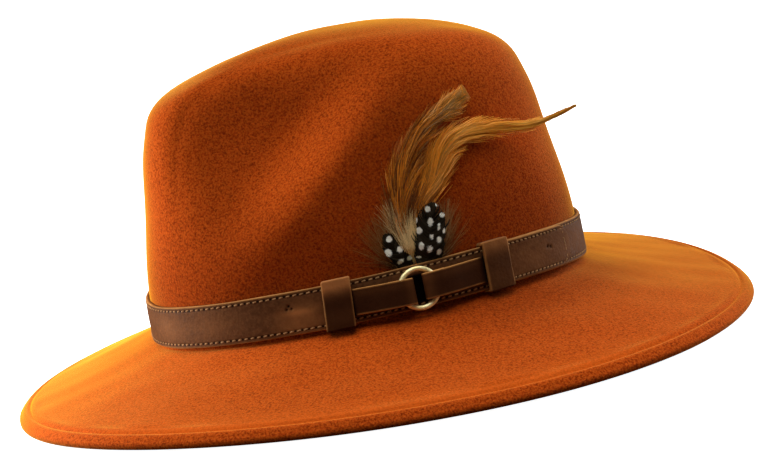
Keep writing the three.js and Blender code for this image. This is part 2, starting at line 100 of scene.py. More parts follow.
# distance in, height above the rim's lowest line, least height
rimUnderRows = [
    (0.45, 3.3, 1.9), (0.08, 2.5, 1.5), (0, 1.8, 0.9), (0.15, 1.05, 0.5), (0.6, 0.42, 0.2),
    (1.4, 0.05, 0), (2.8, 0, 0), (4.6, 0.05, 0), (6.4, 0.35, 0),
]


def ramp(x):
    return np.clip(x, 0, 1)


def waveHeight(rows, angle):
    height = np.zeros_like(angle, dtype=float)
    for waves, cosine, sine in rows:
        height = height + cosine * np.cos(waves * angle) + sine * np.sin(waves * angle)
    return height


def ovalPoint(halfLength, halfWidth, power, angle):
    c, s = np.cos(angle), np.sin(angle)
    reach = (np.abs(c) ** power + np.abs(s) ** power) ** (-1 / power)
    return -halfLength * reach * c, -halfWidth * reach * s


def crestHeight(x):
    away = (x - crest["highAt"]) / 100
    square = np.where(away < 0, crest["front"][0], crest["back"][0])
    fourth = np.where(away < 0, crest["front"][1], crest["back"][1])
    return crest["top"] - square * away ** 2 - fourth * away ** 4


# The fingers' pinch on each side of the front
def pressed(x, y, z):
    slant = math.radians(pinch["slant"])
    dx, dz = x - pinch["x"], z - pinch["z"]
    along = dx * math.cos(slant) + dz * math.sin(slant)
    across = dz * math.cos(slant) - dx * math.sin(slant)
    above = (across / pinch["rise"]) ** 2
    below = np.abs(across / pinch["fall"]) ** pinch["sharp"]
    strength = np.exp(-(along / pinch["reach"]) ** 2 - np.where(across > 0, above, below))
    push = pinch["depth"] * strength * np.minimum(1, np.abs(y) / 40)
    return np.stack([x, y - np.sign(y) * push, z], -1)


def crownPoint(share, halfLength, halfWidth, power, angle):
    x, y = ovalPoint(halfLength, halfWidth, power, angle)
    x = x + hat["crownLean"] * share
    low = waveHeight(bandWaves, angle) + hat["foldRise"]
    return pressed(x, y, low + (crestHeight(x) - low) * share)


def topPoint(share, part, angle):
    _, halfLength, halfWidth, power = crownRows[-1]
    x, y = ovalPoint(halfLength, halfWidth, power, angle)
    x = (x + hat["crownLean"]) * share
    point = pressed(x, y * share, crestHeight(x))
    point[..., 2] = crestHeight(x) + hat["topRise"] * part
    return point


# How far up the crown's straight side a rise above the band's lower edge lies
def foldShare(rise):
    return (rise + hat["brimBelowBand"]) / (hat["foldRise"] + hat["brimBelowBand"])


def sidePoint(angle, rise, share, moreLength=0, moreWidth=0):
    (length, width, power), (_, foldLength, foldWidth, _) = hat["base"], crownRows[0]
    halfLength = length + (foldLength - length) * share + moreLength
    halfWidth = width + (foldWidth - width) * share + moreWidth
    x, y = ovalPoint(halfLength, halfWidth, power, angle)
    return np.stack([x, y, waveHeight(bandWaves, angle) + rise], -1)


def basePoint(angle):
    return sidePoint(angle, -hat["brimBelowBand"], 0)


def edgePoint(angle, inset):
    x, y = ovalPoint(*hat["brimEdge"], angle)
    edge = np.stack([hat["crownForward"] + x, y * (1 - hat["brimEgg"] * np.cos(angle))], -1)
    base = basePoint(angle)[..., :2]
    t = 1 - inset / np.linalg.norm(edge - base, axis=-1)
    return base + (edge - base) * t[..., None], t


def brimPoint(inset, lift, angle):
    flat, t = edgePoint(angle, inset)
    high = basePoint(angle)[..., 2]
    low = waveHeight(edgeWaves, angle) + hat["rimThickness"] / 2 + hat["rimRollDown"]
    z = high + (low - high) * t + 4 * hat["brimBow"] * t * (1 - t) + lift
    return np.concatenate([flat, z[..., None]], -1)


def rimUnderPoint(inset, lift, lowest, angle):
    flat, _ = edgePoint(angle, inset)
    low = waveHeight(edgeWaves, angle) - hat["rimThickness"] / 2
    return np.concatenate([flat, np.maximum(lowest, low + lift)[..., None]], -1)


# A smooth curve through rows of points, with no change of bend at its ends
def smoothRows(points, knots, at):
    count = len(knots)
    gap = np.diff(knots)
    flat = points.reshape(count, -1)
    matrix = np.eye(count)
    right = np.zeros_like(flat)
    for i in range(1, count - 1):
        matrix[i, i - 1:i + 2] = gap[i - 1], 2 * (gap[i - 1] + gap[i]), gap[i]
        right[i] = 6 * ((flat[i + 1] - flat[i]) / gap[i] - (flat[i] - flat[i - 1]) / gap[i - 1])
    bend = np.linalg.solve(matrix, right)
    i = np.clip(np.searchsorted(knots, at) - 1, 0, count - 2)
    s = gap[i][:, None]
    t = (at - knots[i])[:, None]
    u = s - t
    curve = (bend[i] * u ** 3 + bend[i + 1] * t ** 3) / (6 * s)
    curve += (flat[i] / s - bend[i] * s / 6) * u + (flat[i + 1] / s - bend[i + 1] * s / 6) * t
    return curve.reshape((len(at),) + points.shape[1:])


def rowKnots(points):
    steps = np.linalg.norm(np.diff(points, axis=0), axis=-1)
    if steps.ndim > 1:
        steps = steps.mean(1)
    return np.concatenate([[0], np.cumsum(steps)])


# The same curve, cut into a number of rows or into steps
def evenRows(points, count=None, step=None, first=0):
    points = np.array(points)
    knots = rowKnots(points)
    count = count or int((knots[-1] - knots[first]) / step)
    return smoothRows(points, knots, np.linspace(knots[first], knots[-1], count))


def unit(v):
    return v / np.maximum(np.linalg.norm(v, axis=-1, keepdims=True), 1e-12)


def gridNormals(grid):
    down = np.gradient(grid, axis=0)
    around = np.roll(grid, -1, 1) - np.roll(grid, 1, 1)
    return unit(np.cross(down, around))


# A mesh piece from points in millimetres, riding on the hat; the values are marks for the material
def makePiece(name, points, faces, material, replaced=None, slotName=None, **values):
    mesh = bpy.data.meshes.new(name)
    placed = (np.reshape(points, (-1, 3)) - (hat["crownForward"], 0, 0)) / 1000
    mesh.from_pydata(placed.tolist(), [], [tuple(map(int, face)) for face in faces])
    mesh.validate()
    mesh.polygons.foreach_set("use_smooth", [True] * len(mesh.polygons))
    for key, numbers in values.items():
        layer = mesh.attributes.new(key, "FLOAT", "POINT")
        layer.data.foreach_set("value", np.asarray(numbers, np.float32).ravel())
    mesh.materials.append(material)
    mesh.update()
    piece = bpy.data.objects.new(name, mesh)
    bpy.context.scene.collection.objects.link(piece)
    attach(piece, "root")
    if replaced:
        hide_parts(replaced)


# Quads of a grid of rows and columns; the columns may close on themselves, and the rows too
def gridFaces(rows, columns, closeColumns=True, closeRows=False, start=0):
    lastRow = rows if closeRows else rows - 1
    lastColumn = columns if closeColumns else columns - 1
    i, k = np.meshgrid(np.arange(lastRow), np.arange(lastColumn), indexing="ij")
    below, right = (i + 1) % rows, (k + 1) % columns
    faces = np.stack([i * columns + k, i * columns + right, below * columns + right, below * columns + k], -1)
    return (faces.reshape(-1, 4) + start).tolist()


def chance(seed):
    return np.random.default_rng(seed)


# A soft uneven field over space, for wander in leather and felt, about -1 to 1
def softField(points, size, seed):
    rng = chance(seed)
    total = np.zeros(points.shape[:-1])
    for _ in range(7):
        direction = unit(rng.normal(size=3))
        wave = 2 * math.pi / (size * rng.uniform(0.7, 1.6))
        total += np.sin(points @ direction * wave + rng.uniform(0, 6.28))
    return total / 3.5


# Materials. Groups give tones, masks and heights; the shaders stay in the materials.
grainScale = 700.0  # noise scale for grains about a millimetre wide
faintShine = 0.02  # felt, leather, thread and feathers hardly reflect


def feed(tree, socket, value):
    if isinstance(value, bpy.types.NodeSocket):
        tree.links.new(value, socket)
    else:
        socket.default_value = (*value, 1) if isinstance(value, tuple) else value


def mathNode(tree, operation, *values, clamp=False):
    node = tree.nodes.new("ShaderNodeMath")
    node.operation = operation
    node.use_clamp = clamp
    for socket, value in zip(node.inputs, values):
        feed(tree, socket, value)
    return node.outputs[0]


# A group with noise of grains so many millimetres wide
def newGroup(name, inputs, output, detail, roughness):
    group = bpy.data.node_groups.new(name, "ShaderNodeTree")
    for label, value in inputs.items():
        socket = group.interface.new_socket(name=label, in_out="INPUT", socket_type="NodeSocketFloat")
        socket.default_value = value
    group.interface.new_socket(name=output, in_out="OUTPUT", socket_type="NodeSocketFloat")
    given = group.nodes.new("NodeGroupInput").outputs
    place = group.nodes.new("ShaderNodeTexCoord").outputs["Object"]
    scale = mathNode(group, "DIVIDE", grainScale, given["Grain mm"])
    noise = group.nodes.new("ShaderNodeTexNoise")
    for label, value in (("Vector", place), ("Scale", scale), ("Detail", detail), ("Roughness", roughness)):
        feed(group, noise.inputs[label], value)
    result = group.nodes.new("NodeGroupOutput").inputs[0]
    return group, given, place, scale, noise.outputs["Fac"], result


# Uneven tone, pushed apart by Contrast
def buildMottle():
    group, given, _, _, noise, tone = newGroup("unevenTone", {"Grain mm": 2.0, "Contrast": 1.0}, "Tone", 3.0, 0.55)
    centred = mathNode(group, "SUBTRACT", noise, 0.5)
    feed(group, tone, mathNode(group, "MULTIPLY_ADD", centred, given["Contrast"], 0.5, clamp=True))
    return group


# Height of a fine surface: matted fibres or pores
def buildGrain():
    group, given, place, scale, fibres, height = newGroup(
        "surfaceGrain", {"Grain mm": 1.0, "Pores": 0.5}, "Height", 4.0, 0.62)
    cells = group.nodes.new("ShaderNodeTexVoronoi")
    feed(group, cells.inputs["Vector"], place)
    feed(group, cells.inputs["Scale"], scale)
    pores = mathNode(group, "MULTIPLY", cells.outputs["Distance"], given["Pores"])
    feed(group, height, mathNode(group, "ADD", fibres, pores))
    return group


# Mask of what the mesh marks as rubbed or cut, broken up by noise
def buildWear():
    group, given, _, _, noise, mask = newGroup(
        "wornMask", {"Marked": 0.0, "Grain mm": 3.0, "Amount": 1.0}, "Mask", 3.0, 0.6)
    broken = mathNode(group, "MULTIPLY_ADD", noise, 1.1, 0.45)
    marked = mathNode(group, "MULTIPLY", given["Marked"], broken)
    feed(group, mask, mathNode(group, "MULTIPLY", marked, given["Amount"], clamp=True))
    return group


unevenTone, surfaceGrain, wornMask = buildMottle(), buildGrain(), buildWear()


def placeGroup(tree, group, **settings):
    node = tree.nodes.new("ShaderNodeGroup")
    node.node_tree = group
    for label, value in settings.items():
        feed(tree, node.inputs[label.replace("_", " ")], value)
    return node.outputs[0]


def uneven(tree, grainMm, contrast):
    return placeGroup(tree, unevenTone, Grain_mm=grainMm, Contrast=contrast)


def fineBump(tree, shader, grainMm, pores, distance, strength):
    bump = tree.nodes.new("ShaderNodeBump")
    height = placeGroup(tree, surfaceGrain, Grain_mm=grainMm, Pores=pores)
    for label, value in (("Distance", distance), ("Strength", strength), ("Height", height)):
        feed(tree, bump.inputs[label], value)
    feed(tree, shader.inputs["Normal"], bump.outputs["Normal"])


def newMaterial(name, **settings):
    material = bpy.data.materials.new(name)
    material.use_nodes = True
    tree = material.node_tree
    shader = next(node for node in tree.nodes if node.type == "BSDF_PRINCIPLED")
    for label, value in settings.items():
        feed(tree, shader.inputs[label.replace("_", " ")], value)
    return material, tree, shader


def blendColour(tree, amount, first, second, mode="MIX"):
    node = tree.nodes.new("ShaderNodeMix")
    node.data_type = "RGBA"
    node.blend_type = mode
    for slot, value in ((0, amount), (6, first), (7, second)):  # the mix node's colour sockets are 6 and 7
        feed(tree, node.inputs[slot], value)
    return node.outputs[2]


# Colours laid over one another, each by its own mask
def layered(tree, body, *layers):
    for mask, colour in layers:
        body = blendColour(tree, mask, body, colour)
    return body


def markedValue(tree, key):
    node = tree.nodes.new("ShaderNodeAttribute")
    node.attribute_name = key
    return node.outputs["Fac"]


# fine, broad, flecks and mottle: grain in mm and contrast; bump: grain in mm, pores, depth, strength
feltLook = {
    "deep": (0.145, 0.0155, 0.0013), "main": (0.38, 0.0475, 0.0038), "fleck": (0.70, 0.125, 0.011),
    "sheen": 0.55, "sheenRoughness": 0.3, "sheenTint": (1.0, 0.50, 0.10),
    # painted glow along the outline and painted shade by the band
    "nap": (1.0, 0.46, 0.02), "napAmount": 0.85, "napEdge": 9.0, "handled": (0.55, 0.5, 0.45),
    "fine": (0.8, 3.4), "broad": (14.0, 1.4), "broadShare": 0.3, "flecks": (0.6, 6.0), "fleckShare": 0.4,
    "bump": (0.6, 0.25, 0.0004, 0.7),
}


def makeFelt():
    look = feltLook
    material, tree, shader = newMaterial(
        "felt", Roughness=0.95, Specular_IOR_Level=faintShine, Sheen_Weight=look["sheen"],
        Sheen_Roughness=look["sheenRoughness"], Sheen_Tint=look["sheenTint"])
    body = layered(
        tree, look["deep"], (uneven(tree, *look["fine"]), look["main"]),
        (mathNode(tree, "MULTIPLY", uneven(tree, *look["broad"]), look["broadShare"]), look["main"]),
        (mathNode(tree, "MULTIPLY", uneven(tree, *look["flecks"]), look["fleckShare"]), look["fleck"]))
    # painted shade near the band and on the brim before it, painted highlight along the rolled rim
    body = blendColour(tree, markedValue(tree, "handled"), body, look["handled"], mode="MULTIPLY")
    # painted highlight: the colour turns yellow along the outline, standing in for the nap catching the back light
    facing = tree.nodes.new("ShaderNodeLayerWeight").outputs["Facing"]
    outline = mathNode(tree, "MULTIPLY", mathNode(tree, "POWER", facing, look["napEdge"]), look["napAmount"])
    body = layered(tree, body, (markedValue(tree, "worn"), look["fleck"]), (outline, look["nap"]))
    feed(tree, shader.inputs["Base Color"], body)
    fineBump(tree, shader, *look["bump"])
    return material


leatherLook = {
    "deep": (0.036, 0.012, 0.0035), "main": (0.122, 0.047, 0.017), "rubbed": (0.38, 0.145, 0.044),
    # the last two colours are painted shade: near black inside holes and gaps, dark over the keepers and tabs
    "cut": (0.60, 0.27, 0.075), "hollow": (0.003, 0.0012, 0.0005), "dark": (0.030, 0.0085, 0.0028),
    "fine": (1.5, 2.6), "broad": (9.0, 1.1), "flecks": (0.7, 4.0), "fleckShare": 0.3,
    "roughness": (0.2, 0.5), "cutRoughness": 0.3, "bump": (0.9, 0.6, 0.00022, 0.6),
}


def makeLeather():
    look = leatherLook
    material, tree, shader = newMaterial("leather", Specular_IOR_Level=faintShine)
    fine = uneven(tree, *look["fine"])
    rub = placeGroup(tree, wornMask, Marked=markedValue(tree, "rub"), Grain_mm=4.0, Amount=0.9)
    cut = placeGroup(tree, wornMask, Marked=markedValue(tree, "cut"), Grain_mm=2.0, Amount=1.0)
    # painted shade: keepers and tabs are darkened for the shade they sit in, holes and gaps painted near black
    body = layered(
        tree, look["deep"], (uneven(tree, *look["broad"]), look["main"]), (fine, look["main"]),
        (mathNode(tree, "MULTIPLY", uneven(tree, *look["flecks"]), look["fleckShare"]), look["deep"]),
        (markedValue(tree, "oiled"), look["dark"]), (rub, look["rubbed"]), (cut, look["cut"]),
        (markedValue(tree, "hole"), look["hollow"]))
    feed(tree, shader.inputs["Base Color"], body)
    rough = mathNode(tree, "MULTIPLY_ADD", fine, *look["roughness"])
    rough = mathNode(tree, "MULTIPLY_ADD", cut, look["cutRoughness"], rough, clamp=True)
    feed(tree, shader.inputs["Roughness"], rough)
    fineBump(tree, shader, *look["bump"])
    return material


brassLook = {
    "dull": (1.0, 0.76, 0.26), "bright": (1.0, 0.95, 0.58), "metallic": 0.3,
    "mottle": (2.5, 1.5), "roughness": (0.16, 0.2), "bump": (1.5, 0.1, 0.00005, 0.3),
}


def makeBrass():
    look = brassLook
    material, tree, shader = newMaterial("brass", Metallic=look["metallic"])
    tone = uneven(tree, *look["mottle"])
    feed(tree, shader.inputs["Base Color"], blendColour(tree, tone, look["dull"], look["bright"]))
    feed(tree, shader.inputs["Roughness"], mathNode(tree, "MULTIPLY_ADD", tone, *look["roughness"]))
    fineBump(tree, shader, *look["bump"])
    return material


threadLook = {
    "dark": (0.18, 0.088, 0.033), "pale": (0.44, 0.24, 0.105), "roughness": 0.75,
    "mottle": (0.8, 2.0), "bump": (0.3, 0.5, 0.0001, 0.6),
}


def makeThread():
    look = threadLook
    material, tree, shader = newMaterial("thread", Roughness=look["roughness"], Specular_IOR_Level=faintShine)
    colour = blendColour(tree, uneven(tree, *look["mottle"]), look["dark"], look["pale"])
    feed(tree, shader.inputs["Base Color"], colour)
    fineBump(tree, shader, *look["bump"])
    return material


barbLook = {
    "glossTint": (1.0, 0.72, 0.3), "sheenTint": (1.0, 0.6, 0.16), "sheenRoughness": 0.4,
    "dots": (1.0, 1.0, 0.86), "mottle": (0.7, 1.6), "mottleShare": 0.3,
}


# Barbs: tone runs from shaded to bright strands, spot marks the pale dots, tip the strand's end
def makeBarbs(name, dark, bright, tipColour, roughness=0.5, gloss=faintShine, sheen=0.0):
    look = barbLook
    material, tree, shader = newMaterial(
        name, Roughness=roughness, Specular_IOR_Level=gloss, Specular_Tint=look["glossTint"],
        Sheen_Weight=sheen, Sheen_Roughness=look["sheenRoughness"], Sheen_Tint=look["sheenTint"])
    share = look["mottleShare"]
    toned = mathNode(tree, "SUBTRACT", markedValue(tree, "tone"), share / 2)
    tone = mathNode(tree, "MULTIPLY_ADD", uneven(tree, *look["mottle"]), share, toned, clamp=True)
    body = layered(
        tree, dark, (tone, bright), (markedValue(tree, "tip"), tipColour),
        (markedValue(tree, "spot"), look["dots"]))
    feed(tree, shader.inputs["Base Color"], body)
    return material


felt, leather, brass, thread = makeFelt(), makeLeather(), makeBrass(), makeThread()
spottedBarbs = makeBarbs("spottedBarbs", (0.008, 0.006, 0.0035), (0.04, 0.03, 0.018), (0.07, 0.045, 0.02))
# the golden tip colour is partly painted light, for hackle parts that reach out into the light
goldenBarbs = makeBarbs("goldenBarbs", (0.13, 0.02, 0.002), (1.0, 0.3, 0.016), (1.0, 0.46, 0.03), 0.42, 0.9, 1.0)
downBarbs = makeBarbs("downBarbs", (0.12, 0.038, 0.009), (1.0, 0.74, 0.33), (0.40, 0.13, 0.025), 0.7)
print("materials made")


# Felt: one closed shell of crown and brim
def makeFeltBody():
    steps, crownWall = hat["aroundSteps"], hat["crownWall"]
    around = np.arange(steps) * 2 * math.pi / steps
    tops = [topPoint(share, part, around) for share, part in reversed(topRows)]
    apex = np.array([hat["crownLean"] * topRows[-1][0], 0, crestHeight(0.0) + hat["topRise"]])
    crown = evenRows(
        [np.roll(tops[0], steps // 2, 0), np.broadcast_to(apex, tops[0].shape), *tops]
        + [crownPoint(*row, around) for row in crownRows[::-1]] + [basePoint(around)],
        step=hat["crownStep"], first=1)
    brim = evenRows(
        [basePoint(around)] + [brimPoint(*row, around) for row in brimRows], step=hat["brimStep"])[1:]
    rim = evenRows(
        [brimPoint(*row, around) for row in rimTopRows] + [rimUnderPoint(*row, around) for row in rimUnderRows],
        count=hat["rimSteps"])[1:]
    rim[..., 2] = np.maximum(rim[..., 2], 0)
    top = np.concatenate([crown[1:], brim])
    normals = gridNormals(top)
    normals *= np.sign(normals[-3, 0, 2])
    wall = np.full(len(top), crownWall)
    wall[len(crown) - 1:] = hat["brimWall"]
    inner = (top - normals * wall[:, None, None])[:-2:2][::-1]
    top = top + hat["waviness"] * softField(top, hat["waveLength"], 3)[..., None] * normals
    grid = np.concatenate([top, rim, inner])
    rows, columns = grid.shape[:2]
    points = np.concatenate([grid.reshape(-1, 3), [apex, apex - (0, 0, crownWall)]])
    # painted shade round the band and on the brim before it, where the crown shades the front; painted highlight
    # along the rolled rim
    along = rowKnots(top)
    away = (along - along[len(crown) - 2])[:, None]
    x, y = top[..., 0], top[..., 1]
    # painted shade: the felt is painted darker on the crown just above the band and on the front brim just out from
    # it
    onSide = 0.75 * np.exp(-((-away - 19) / (24 + 14 * ramp((-x - 20) / 40))) ** 2)
    onBrim = 0.9 * np.exp(-((away - 4) / 26) ** 2) * ramp((x + 20) / 60) * ramp(-y / 40)
    handled, worn = np.zeros((rows, columns)), np.zeros((rows, columns))
    handled[:len(top)] = np.where(away < 0, onSide, onBrim)
    # painted highlight: the rolled rim is painted lighter with the fleck colour
    worn[len(top) - 4:len(top) + 16] = 0.45 * np.sin(np.linspace(0, math.pi, 20))[:, None]
    worn *= ramp((grid[..., 0] + 160) / 60) * ramp((130 - grid[..., 0]) / 70)
    faces = gridFaces(rows, columns)
    outerApex, last = rows * columns, (rows - 1) * columns
    for k in range(columns):
        after = (k + 1) % columns
        faces += [(outerApex, after, k), (outerApex + 1, last + k, last + after)]
    makePiece("felt_crown_and_brim", points, faces, felt, "felt_body", "felt",
              handled=np.append(handled, [0, 0]), worn=np.append(worn, [0, 0]))


makeFeltBody()
print("felt made")

# Leather band. Out is measured from the strap's inner face.
band = {
    "height": 19, "thickness": 2.2, "atEnds": 0.3, "atSides": 2, "clearance": 0.3,
    "edgeRound": 0.55, "stations": 1150, "frontSteps": 34,
    "stitchPitch": 3.1, "stitchIn": 1.75, "channel": 0.22, "channelHalf": 0.42, "holeDepth": 0.7,
    "crowned": 0.12, "uneven": 0.07, "wander": 0.12,
}
bandMiddle = band["height"] / 2


def strapInner(angle, rise):
    return sidePoint(angle, rise, foldShare(rise), band["atEnds"], band["atSides"])


def bandFrame(angle, rise):
    around = unit(strapInner(angle + 0.01, rise) - strapInner(angle - 0.01, rise))
    up = strapInner(angle, rise + 1) - strapInner(angle, rise - 1)
    out = unit(np.cross(around, up))
    return around, np.cross(out, around), out


bandTurn = np.linspace(0, 2 * math.pi, 3601)
bandLength = rowKnots(strapInner(bandTurn, bandMiddle + 0 * bandTurn))


# Millimetres round the band from the front, and back to an angle
def bandMm(degrees):
    return np.interp(np.radians(degrees), bandTurn, bandLength)


def bandAngle(mm):
    return np.interp(np.mod(mm, bandLength[-1]), bandLength, bandTurn)


def onBand(mm, rise, out):
    angle, rise, out = np.broadcast_arrays(bandAngle(mm), rise, out)
    return strapInner(angle, rise) + bandFrame(angle, rise)[2] * out[..., None]


# Rounded outline of a strip: rise and out, counted from its lower outer corner up the front
def stripOutline(low, high, inside, outside, roundness, frontSteps):
    turn = np.linspace(0, math.pi / 2, 6)
    end, fall = roundness * (1 - np.sin(turn)), roundness * (1 - np.cos(turn))
    front = np.linspace(low + roundness, high - roundness, frontSteps + 1)[1:-1]
    back = np.linspace(high, low, 7)
    rise = np.concatenate([(low + end)[::-1], front, high - end, back])
    out = np.concatenate([(outside - fall)[::-1], 0 * front + outside, outside - fall, 0 * back + inside])
    return rise, out


# One stitch lies on the leather from hole to hole, a little slanted
stitchSize = {"length": 2.1, "width": 0.7, "height": 0.55, "sunk": 0.28, "rings": 7, "sides": 6}


def stitchMesh(centre, along, across, out, slant):
    rings, sides = stitchSize["rings"], stitchSize["sides"]
    a = np.linspace(-1, 1, rings)
    turn = np.arange(sides) * 2 * math.pi / sides
    body = np.sqrt(np.maximum(0.04, 1 - a ** 4))[:, None]
    forward = unit(along + across * slant)
    aside = unit(np.cross(out, forward))
    upward = body * np.sin(turn) * stitchSize["height"] / 2 - stitchSize["sunk"] * np.abs(a[:, None]) ** 3
    points = centre[:, None, None]
    for direction, reach in (
            (forward, (a * stitchSize["length"] / 2)[:, None] + 0 * turn),
            (aside, body * np.cos(turn) * stitchSize["width"] / 2), (out, upward)):
        points = points + direction[:, None, None] * reach[None, :, :, None]
    faces = []
    for start in range(0, len(centre) * rings * sides, rings * sides):
        faces += gridFaces(rings, sides, start=start)
        faces.append(tuple(start + k for k in range(sides)))
        faces.append(tuple(start + (rings - 1) * sides + k for k in reversed(range(sides))))
    return points.reshape(-1, 3), faces


def stitchesAt(mm, rise, out, slant=0.16, turned=None):
    rise = rise + 0 * mm
    along, across, outward = bandFrame(bandAngle(mm), rise)
    if turned is not None:
        c, s = np.cos(turned)[:, None], np.sin(turned)[:, None]
        along, across = along * c + across * s, across * c - along * s
    return stitchMesh(onBand(mm, rise, out), along, across, outward, slant)


def joined(parts):
    points, faces, start = [], [], 0
    for partPoints, partFaces in parts:
        points.append(partPoints)
        faces += [tuple(start + i for i in face) for face in partFaces]
        start += len(partPoints)
    return np.concatenate(points), faces


# Small dips: channels under the stitch rows and punched holes; the holes' mask is also painted near black as the
# shade inside them
def dips(mm, rise, holes, rows):
    dip = np.zeros_like(mm)
    for row in rows:
        dip += band["channel"] * np.exp(-((rise - row) / band["channelHalf"]) ** 2)
    hole = np.zeros_like(mm)
    for holeMm, holeRise, radius in holes:
        away = np.hypot(mm - holeMm, rise - holeRise)
        hole = np.maximum(hole, np.clip(1.5 - away / radius, 0, 1))
    return dip + band["holeDepth"] * hole, hole


# Punched ends of the stitches, halfway between them, painted near black as shade
def stitchHoles(mm, rise, row, pitch, shift):
    away = np.abs((mm - shift + pitch / 2) % pitch - pitch / 2)
    return ramp(1.6 - np.hypot(away / 0.62, (rise - row) / 0.5))


def makeLeatherPiece(name, points, faces, **values):
    makePiece(name + "_leather", points, faces, leather, name, "leather", **values)


# Worn places: round the band in degrees, rise, half length, half height, strength
rubbedPlaces = [
    (65.4, 9.8, 6.5, 1.4, 0.45), (63.2, 4.2, 5.5, 3, 0.3), (62, 9, 7, 3.4, 0.1), (67.5, 7, 9, 7, 0.42),
    (40, 10, 16, 6, 0.18), (22, 9, 12, 6, 0.22), (128, 9, 9, 5, 0.15), (150, 10, 14, 6, 0.15),
    (230, 10, 20, 6, 0.15), (300, 9, 22, 6, 0.18),
]


def rubOf(mm, rise):
    rub = np.zeros_like(mm)
    for degrees, atRise, halfMm, halfRise, strength in rubbedPlaces:
        rub += strength * np.exp(-((mm - bandMm(degrees)) / halfMm) ** 2 - ((rise - atRise) / halfRise) ** 2)
    return rub


ringSize = {"degrees": 95, "rise": 8.6, "radius": 8.75, "wire": 2.2, "out": 5.05, "turns": 96, "sides": 24}
# punched holes: millimetres round, rise, radius
frontHoles = [(bandMm(63.4), 12.9, 0.55), (bandMm(63.4) - 1.1, 11.5, 0.5), (bandMm(63.4) + 1.1, 11.6, 0.5)]
endHoles = [(bandMm(134.0) - 1, 10.9, 0.6), (bandMm(134.0) + 1, 10.5, 0.6)]


def makeBandStrap():
    height, thickness, length = band["height"], band["thickness"], bandLength[-1]
    rise, out = stripOutline(0, height, 0, thickness, band["edgeRound"], band["frontSteps"])
    mm, rise = np.meshgrid(np.arange(band["stations"]) * length / band["stations"], rise, indexing="ij")
    front = np.broadcast_to(out > thickness * 0.6, mm.shape)
    stitchRows = [band["stitchIn"], height - band["stitchIn"]]
    dip, hole = dips(mm, rise, frontHoles, stitchRows)
    count = int(length / band["stitchPitch"])
    pitch = length / count
    for row, shift in zip(stitchRows, (0, 1)):
        hole = np.maximum(hole, stitchHoles(mm, rise, row, pitch, shift))
    # painted shade: the strap is painted near black between the tabs' folds, where it lies in darkness
    between = ramp(4.4 - np.abs(mm - bandMm(ringSize["degrees"]))) * ramp(15.4 - rise) * ramp(rise - 1.5)
    hole = np.maximum(hole, between)
    flat = onBand(mm, rise, 0)
    most = band["crowned"]
    crowned = most * (1 - ((rise - bandMiddle) / bandMiddle) ** 2) + band["uneven"] * softField(flat, 13, 8)
    out = out + np.where(front, crowned - most - dip, 0)
    rise = rise + band["wander"] * softField(flat, 30, 11)
    cut = ramp(1 - np.minimum(rise, height - rise) / 0.62)
    makeLeatherPiece("band_strap", onBand(mm, rise, out), gridFaces(*mm.shape, closeRows=True),
                     cut=0.6 * cut * front, rub=rubOf(mm, rise), hole=hole * front)
    stitchMm = (np.arange(count) + 0.5) * pitch
    lies = thickness - band["channel"] + 0.1
    stitches = [stitchesAt(stitchMm, stitchRows[0], lies), stitchesAt(stitchMm + 1, stitchRows[1], lies)]
    makePiece("band_stitches", *joined(stitches), thread)


makeBandStrap()
print("band made")

# The overlapped end of the strap, with its rounded tip and stitched outline
endSize = {"from": 117, "to": 144, "thickness": 1.4, "edge": 0.2, "stitchIn": 1.9, "stitchTip": 7.0,
           "stitchFrom": 120.4, "holesFrom": 120}


